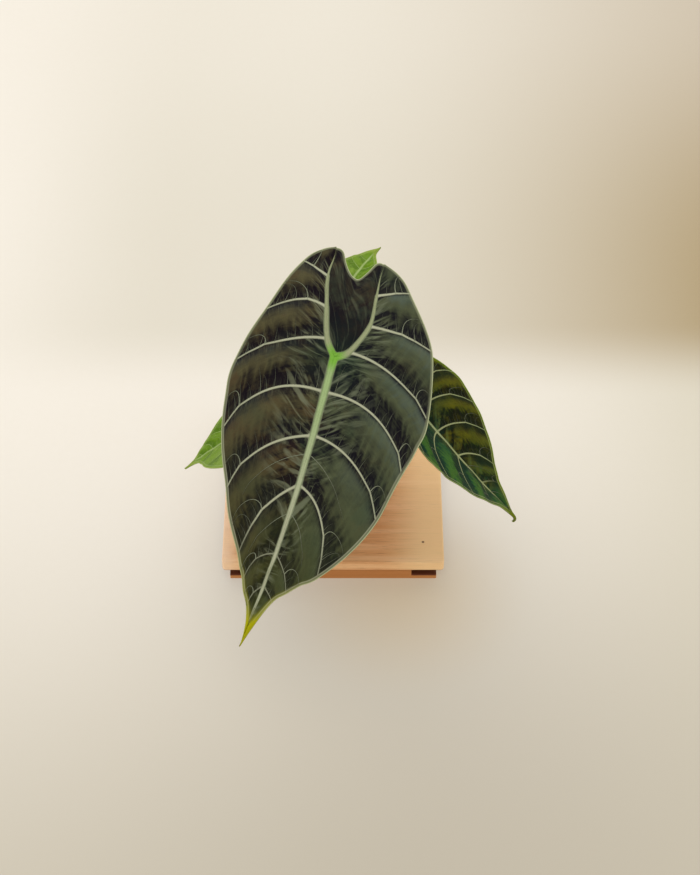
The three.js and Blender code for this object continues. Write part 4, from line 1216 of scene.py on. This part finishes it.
def addPot(finish):
    look = potPlace
    height, foot, thick = look["height"], look["height"] - look["band"], look["thickness"]
    top, floor, drain, (inward, upward) = (
        look[key] for key in ("topRadius", "floor", "drainRadius", "bandLean"))
    corners = [
        (drain, 0), (look["baseRadius"], 0), (potWall(foot), foot), (top - inward, foot + upward),
        (top, height), (top - thick - look["lip"], height), (potWall(foot) - thick, foot - look["innerStep"]),
        (potWall(floor) - thick, floor), (drain, floor),
    ]
    outline = divided(roundedOutline(corners, look["cornerRadii"]), look["step"])
    turns = np.linspace(0, 2 * math.pi, look["sides"], endpoint=False)
    points = []
    for radius, z in outline:
        for turn in turns:
            swing = look["wobbles"]
            spot = Vector((math.cos(turn) * swing, math.sin(turn) * swing, z / look["wobbleHeight"]))
            wave = noise.noise(spot) * look["wobble"]
            wave += look["turned"] * math.sin(z * look["turnedPer"] + look["sway"] * math.sin(turn * 2))
            wave *= min(1, z / look["even"]) if radius > look["floorWidth"] else 0
            wavy = radius + wave
            points.append((wavy * math.cos(turn), wavy * math.sin(turn), boardTop + z))
    rings = np.arange(len(points)).reshape(len(outline), look["sides"])
    faces = ringFaces(np.vstack([rings, rings[:1]]))
    return newPiece("terracottaPot", np.array(points) * mm, faces, finish)


potLook = {
    "clay": (tone(160, 86, 50), tone(196, 120, 78)), "rings": tone(206, 138, 96),
    "bloom": tone(222, 196, 172), "damp": tone(120, 66, 42), "speck": tone(122, 62, 38),
    "bloomed": (0.62, 0.86), "bloomTop": (0.03, 0.085), "dampTop": (0.026, 0.034), "specks": (0.1, 0.28),
}


def potFinish(look):
    def build(g):
        place = g.place()
        z = g.split(place)[2]
        cloud = g.grain(place, 26, 4, 0.6, 0.4)
        grit = g.grain(place, 900, 3, 0.6)
        speck = g.cells(place, 520)
        rings = g.grain(place, 420, 3, 0.5, 0.0, (0.12, 0.12, 1))
        tint = g.mix(cloud, *look["clay"])
        tint = g.mix(rings * 0.4, tint, look["rings"])
        bloom = (cloud * 0.8 + g.grain(place, 70, 4, 0.65) * 0.5).fade(*look["bloomed"])
        low = 1 - z.fade(*look["bloomTop"])
        tint = g.mix((bloom * (0.3 + low * 0.5)).least(0.8), tint, look["bloom"])
        tint = g.mix((1 - z.fade(*look["dampTop"])) * 0.5, tint, look["damp"])
        tint = g.mix((1 - speck.fade(*look["specks"])) * 0.35, tint, look["speck"])
        height = grit * 0.5 + rings * 0.8 + cloud * 0.3
        return {"Base Color": tint, "Roughness": 0.8 + grit * 0.15, "Normal": g.bump(height, 0.4, 0.0008)}

    return newFinish("terracotta", build, Specular_IOR_Level=0.3)


pot = addPot(potFinish(potLook))
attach(pot, "root")
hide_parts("pot")
print("pot made")

# Potting mix: a lumpy mound, with crumbs, bark and pumice scattered on it
soilPlace = {"mound": 3, "lumps": 1.6, "rings": 64, "sides": 150, "gap": 0.3, "calm": 0.8}
soilGrains = ((3, 2, 0.9), (1, 5, 0.35))  # size, layer and height of its unevenness
soilTones = (tone(26, 18, 13), tone(58, 42, 30))
scatterKinds = {
    "crumb": {"perArea": 95000, "size": 1.5, "squash": (1, 0.9, 0.7), "seed": 3,
              "tones": (tone(30, 21, 15), tone(64, 46, 32))},
    "bark": {"perArea": 14000, "size": 3.2, "squash": (1, 0.5, 0.28), "seed": 8,
             "tones": (tone(74, 44, 26), tone(128, 84, 52))},
    "pumice": {"perArea": 9000, "size": 1.7, "squash": (1, 0.85, 0.8), "seed": 15,
               "tones": (tone(190, 184, 170), tone(232, 228, 216))},
}
scatterLook = {"upward": 0.5, "depth": 2, "ruffles": 2.6, "ruffle": 0.7, "grades": (0.45, 1.25),
               "turn": 6.3}


def soilHeight(x, y, rim):
    away = math.hypot(x, y)
    # the same swells as in the modelled soil, and a finer unevenness over them
    coarse = math.sin(0.41 * x + 1.3) * math.cos(0.37 * y - 0.6)
    fine = math.sin(0.93 * x - 0.8 * y + 2.1) * math.cos(0.71 * x + 0.97 * y)
    fade = 1 - smooth(away, soilPlace["calm"] * rim, rim)
    rough = sum(noise.noise(Vector((x / size, y / size, layer))) * height
                for size, layer, height in soilGrains)
    mound = soilPlace["mound"] * (1 - min(1, away / rim) ** 2)
    return mound + fade * soilPlace["lumps"] * (0.6 * coarse + 0.4 * fine) + rough


def addSoil(finish):
    foot, gap = potPlace["height"] - potPlace["band"], soilPlace["gap"]
    top, floor, thick = soilTop - boardTop, potPlace["floor"], potPlace["thickness"]
    inside, bandInside = potWall(foot) - thick, potPlace["topRadius"] - thick - potPlace["lip"]
    rim = inside + (bandInside - inside) * (top - foot) / (potPlace["band"] - potPlace["lip"]) - gap
    profile = [(potWall(floor) - thick - gap, floor + gap), (inside - gap, foot), (rim, top - 1)]
    turns = np.linspace(0, 2 * math.pi, soilPlace["sides"], endpoint=False)
    points = [(r * math.cos(turn), r * math.sin(turn), boardTop + z) for r, z in profile for turn in turns]
    for ring in range(soilPlace["rings"]):
        radius = rim * (1 - ring / soilPlace["rings"])
        for turn in turns:
            x, y = radius * math.cos(turn), radius * math.sin(turn)
            points.append((x, y, soilTop + soilHeight(x, y, rim)))
    rings = np.arange(len(points)).reshape(-1, len(turns)).tolist()
    faces = ringFaces(np.array(rings))
    points += [(0, 0, boardTop + floor + gap), (0, 0, soilTop + soilHeight(0, 0, rim))]
    first, last = rings[0], rings[-1]
    faces += [(len(points) - 2, b, a) for a, b in zip(first, first[1:] + first[:1])]
    faces += [(len(points) - 1, a, b) for a, b in zip(last, last[1:] + last[:1])]
    return newPiece("soilMound", np.array(points) * mm, faces, finish)


def scatterTree(look):  # small lumps on the upward faces of a piece
    graph, given = newTree("scatter", {"Per Area": "Float", "Size": "Float", "Squash": "Vector",
                                       "Seed": "Int", "Lowest": "Float", "Finish": "Material"})

    def over(kind, limit):  # whether a vector's upward part is over a limit
        upward = graph.node("ShaderNodeSeparateXYZ", None, (graph.node(kind),), 2)
        rule = {"data_type": "FLOAT", "operation": "GREATER_THAN"}
        return graph.node("FunctionNodeCompare", rule, (upward, limit))

    def drawn(kind, values, out=0):
        values = {**values, "Seed": given["Seed"]}
        return graph.node("FunctionNodeRandomValue", {"data_type": kind}, values, out)

    def scaled(vector, scale):
        return graph.node("ShaderNodeVectorMath", {"operation": "SCALE"}, {0: vector, "Scale": scale})

    limits = (over("GeometryNodeInputNormal", look["upward"]),
              over("GeometryNodeInputPosition", given["Lowest"]))
    paintedShadeSpots = graph.node("GeometryNodeDistributePointsOnFaces", None, {
        "Mesh": given["Geometry"], "Density": given["Per Area"], "Seed": given["Seed"],
        "Selection": graph.node("FunctionNodeBooleanMath", {"operation": "AND"}, limits)})
    lump = graph.node("GeometryNodeMeshIcoSphere", None, {"Radius": 0.5, "Subdivisions": 2})
    ruffle = graph.node("ShaderNodeTexNoise", None, {"Scale": look["ruffles"]}, 1)
    ruffle = graph.node("ShaderNodeVectorMath", {"operation": "SUBTRACT"}, (ruffle, (0.5, 0.5, 0.5)))
    ruffle = scaled(ruffle, look["ruffle"])
    lump = graph.node("GeometryNodeSetPosition", None, {"Geometry": lump, "Offset": ruffle})
    turn = drawn("FLOAT_VECTOR", {0: (0, 0, 0), 1: (look["turn"],) * 3})
    smallest, largest = look["grades"]
    size = scaled(given["Squash"], drawn("FLOAT", {2: smallest, 3: largest}, 1) * given["Size"])
    lumps = graph.node("GeometryNodeInstanceOnPoints", None, {
        "Points": paintedShadeSpots, "Instance": lump, "Rotation": turn, "Scale": size})
    return closeTree(graph, lumps, given["Finish"])


def earthFinish(name, tones, scale):
    def build(g):
        place = g.place()
        cloud = g.grain(place, scale, 4, 0.65)
        grit = g.grain(place, 2600, 2, 0.6)
        tint = g.mix(cloud.fade(0.3, 0.7), *tones)
        relief = g.bump(grit + cloud, 0.6, 0.0007)
        return {"Base Color": tint, "Roughness": 0.88 + grit * 0.1, "Normal": relief}

    return newFinish(name, build, Specular_IOR_Level=0.25)


soil = addSoil(earthFinish("pottingMix", soilTones, 320))
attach(soil, "root")
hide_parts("soil")
scatter = scatterTree(scatterLook)
for kind, look in scatterKinds.items():
    bed = soil.copy()
    bed.name = "soil" + kind.title()
    bed.data = soil.data.copy()
    bed.parent = None
    for key in list(bed.keys()):
        del bed[key]
    scene.collection.objects.link(bed)
    grown(bed, scatter, {
        "Per Area": float(look["perArea"]), "Size": look["size"] * mm, "Squash": look["squash"],
        "Seed": look["seed"], "Lowest": (soilTop - scatterLook["depth"]) * mm,
        "Finish": earthFinish(kind, look["tones"], 500)})
    bed.data.name = bed.name
    print(bed.name, len(bed.data.polygons), "faces")
    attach(bed, "root")
print("soil made")

# Wooden stand: the modelled board and rails, with a fine-grained finish and painted light and shade
standNodes = ("stand_board", "stand_rail_front", "stand_rail_middle", "stand_rail_rear")
# Pairs of numbers are where one tone passes into the next, in metres or in shares of a grain
woodLook = {
    "rings": (tone(218, 154, 92), tone(250, 207, 156)), "warp": tone(228, 164, 110),
    "fibre": tone(176, 118, 70), "pore": tone(130, 78, 42), "knot": tone(92, 58, 32),
    "shade": tone(96, 40, 12), "rail": (tone(170, 104, 48), tone(204, 140, 80)),
    "ends": (tone(255, 220, 186), tone(255, 222, 166)),
    "ringTurn": (0.3, 0.7), "warpTurn": (0.35, 0.7), "fibreTurn": (0.45, 0.8), "poreTurn": (0.6, 0.7),
    "poreDepth": (0.6, 0.72), "boardFoot": (0.0146, 0.0162), "rightEnd": (0.04, 0.085),
    "leftEnd": (-0.1, -0.08), "endTurn": (-0.05, 0.05), "knotPlace": (0.0814, -0.0763, 0.026),
    "knotReach": (0.0006, 0.0016), "shadeFrom": (0.0118, 0.0144), "shadeTo": (0.0146, 0.0158),
    "slotSide": (0.0705 ** 2, 0.0715 ** 2), "slotFoot": (0.0042, 0.005),
}


def woodFinish(look):
    def build(g):
        place = g.place()
        x, _, z = g.split(place)
        warp = g.grain(place, 1, 3, 0.5, 0.0, (2.2, 9, 9))
        rings = g.grain(place, 1, 4, 0.55, 0.6, (3.5, 95, 95))
        fibre = g.grain(place, 1, 3, 0.6, 0.0, (22, 1500, 1500))
        pores = g.grain(place, 1, 2, 0.5, 0.0, (60, 2600, 2600))
        board = z.fade(*look["boardFoot"])
        tint = g.mix(rings.fade(*look["ringTurn"]), *look["rings"])
        tint = g.mix(warp.fade(*look["warpTurn"]) * 0.45, tint, look["warp"])
        tint = g.mix(fibre.fade(*look["fibreTurn"]) * 0.4, tint, look["fibre"])
        tint = g.mix(pores.fade(*look["poreTurn"]) * 0.5, tint, look["pore"])
        # painted shade: the rails' faces darker than the board
        tint = g.mix(1 - board, tint, g.mix(rings, *look["rail"]))
        # painted light: the board's ends paler than its shaded middle, partly paler sapwood
        pale = (x.fade(*look["rightEnd"]) * 0.8).most(1 - x.fade(*look["leftEnd"])) * board
        ends = g.mix(x.fade(*look["endTurn"]), *look["ends"])
        tint = g.mix(pale * (1.15 - rings * 0.8).least(1), tint, ends)
        knot = g.distance(place, look["knotPlace"])
        tint = g.mix(1 - knot.fade(*look["knotReach"]), tint, look["knot"])
        under = 1 - z.fade(*look["shadeTo"])
        shade = z.fade(*look["shadeFrom"]) * under
        slot = (x * x).fade(*look["slotSide"]) * z.fade(*look["slotFoot"]) * under
        tint = g.mix((shade * 0.7).most(slot * 0.95), tint, look["shade"])
        height = rings * 0.4 + fibre * 0.5 - pores.fade(*look["poreDepth"]) * 0.4
        return {"Base Color": tint, "Roughness": 0.55 + fibre * 0.2, "Normal": g.bump(height, 0.35, 0.0006)}

    return newFinish("standWood", build, Specular_IOR_Level=0.35)


standWood = woodFinish(woodLook)
for name in standNodes:
    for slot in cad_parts[name].material_slots:
        slot.material = standWood
print("stand finished")
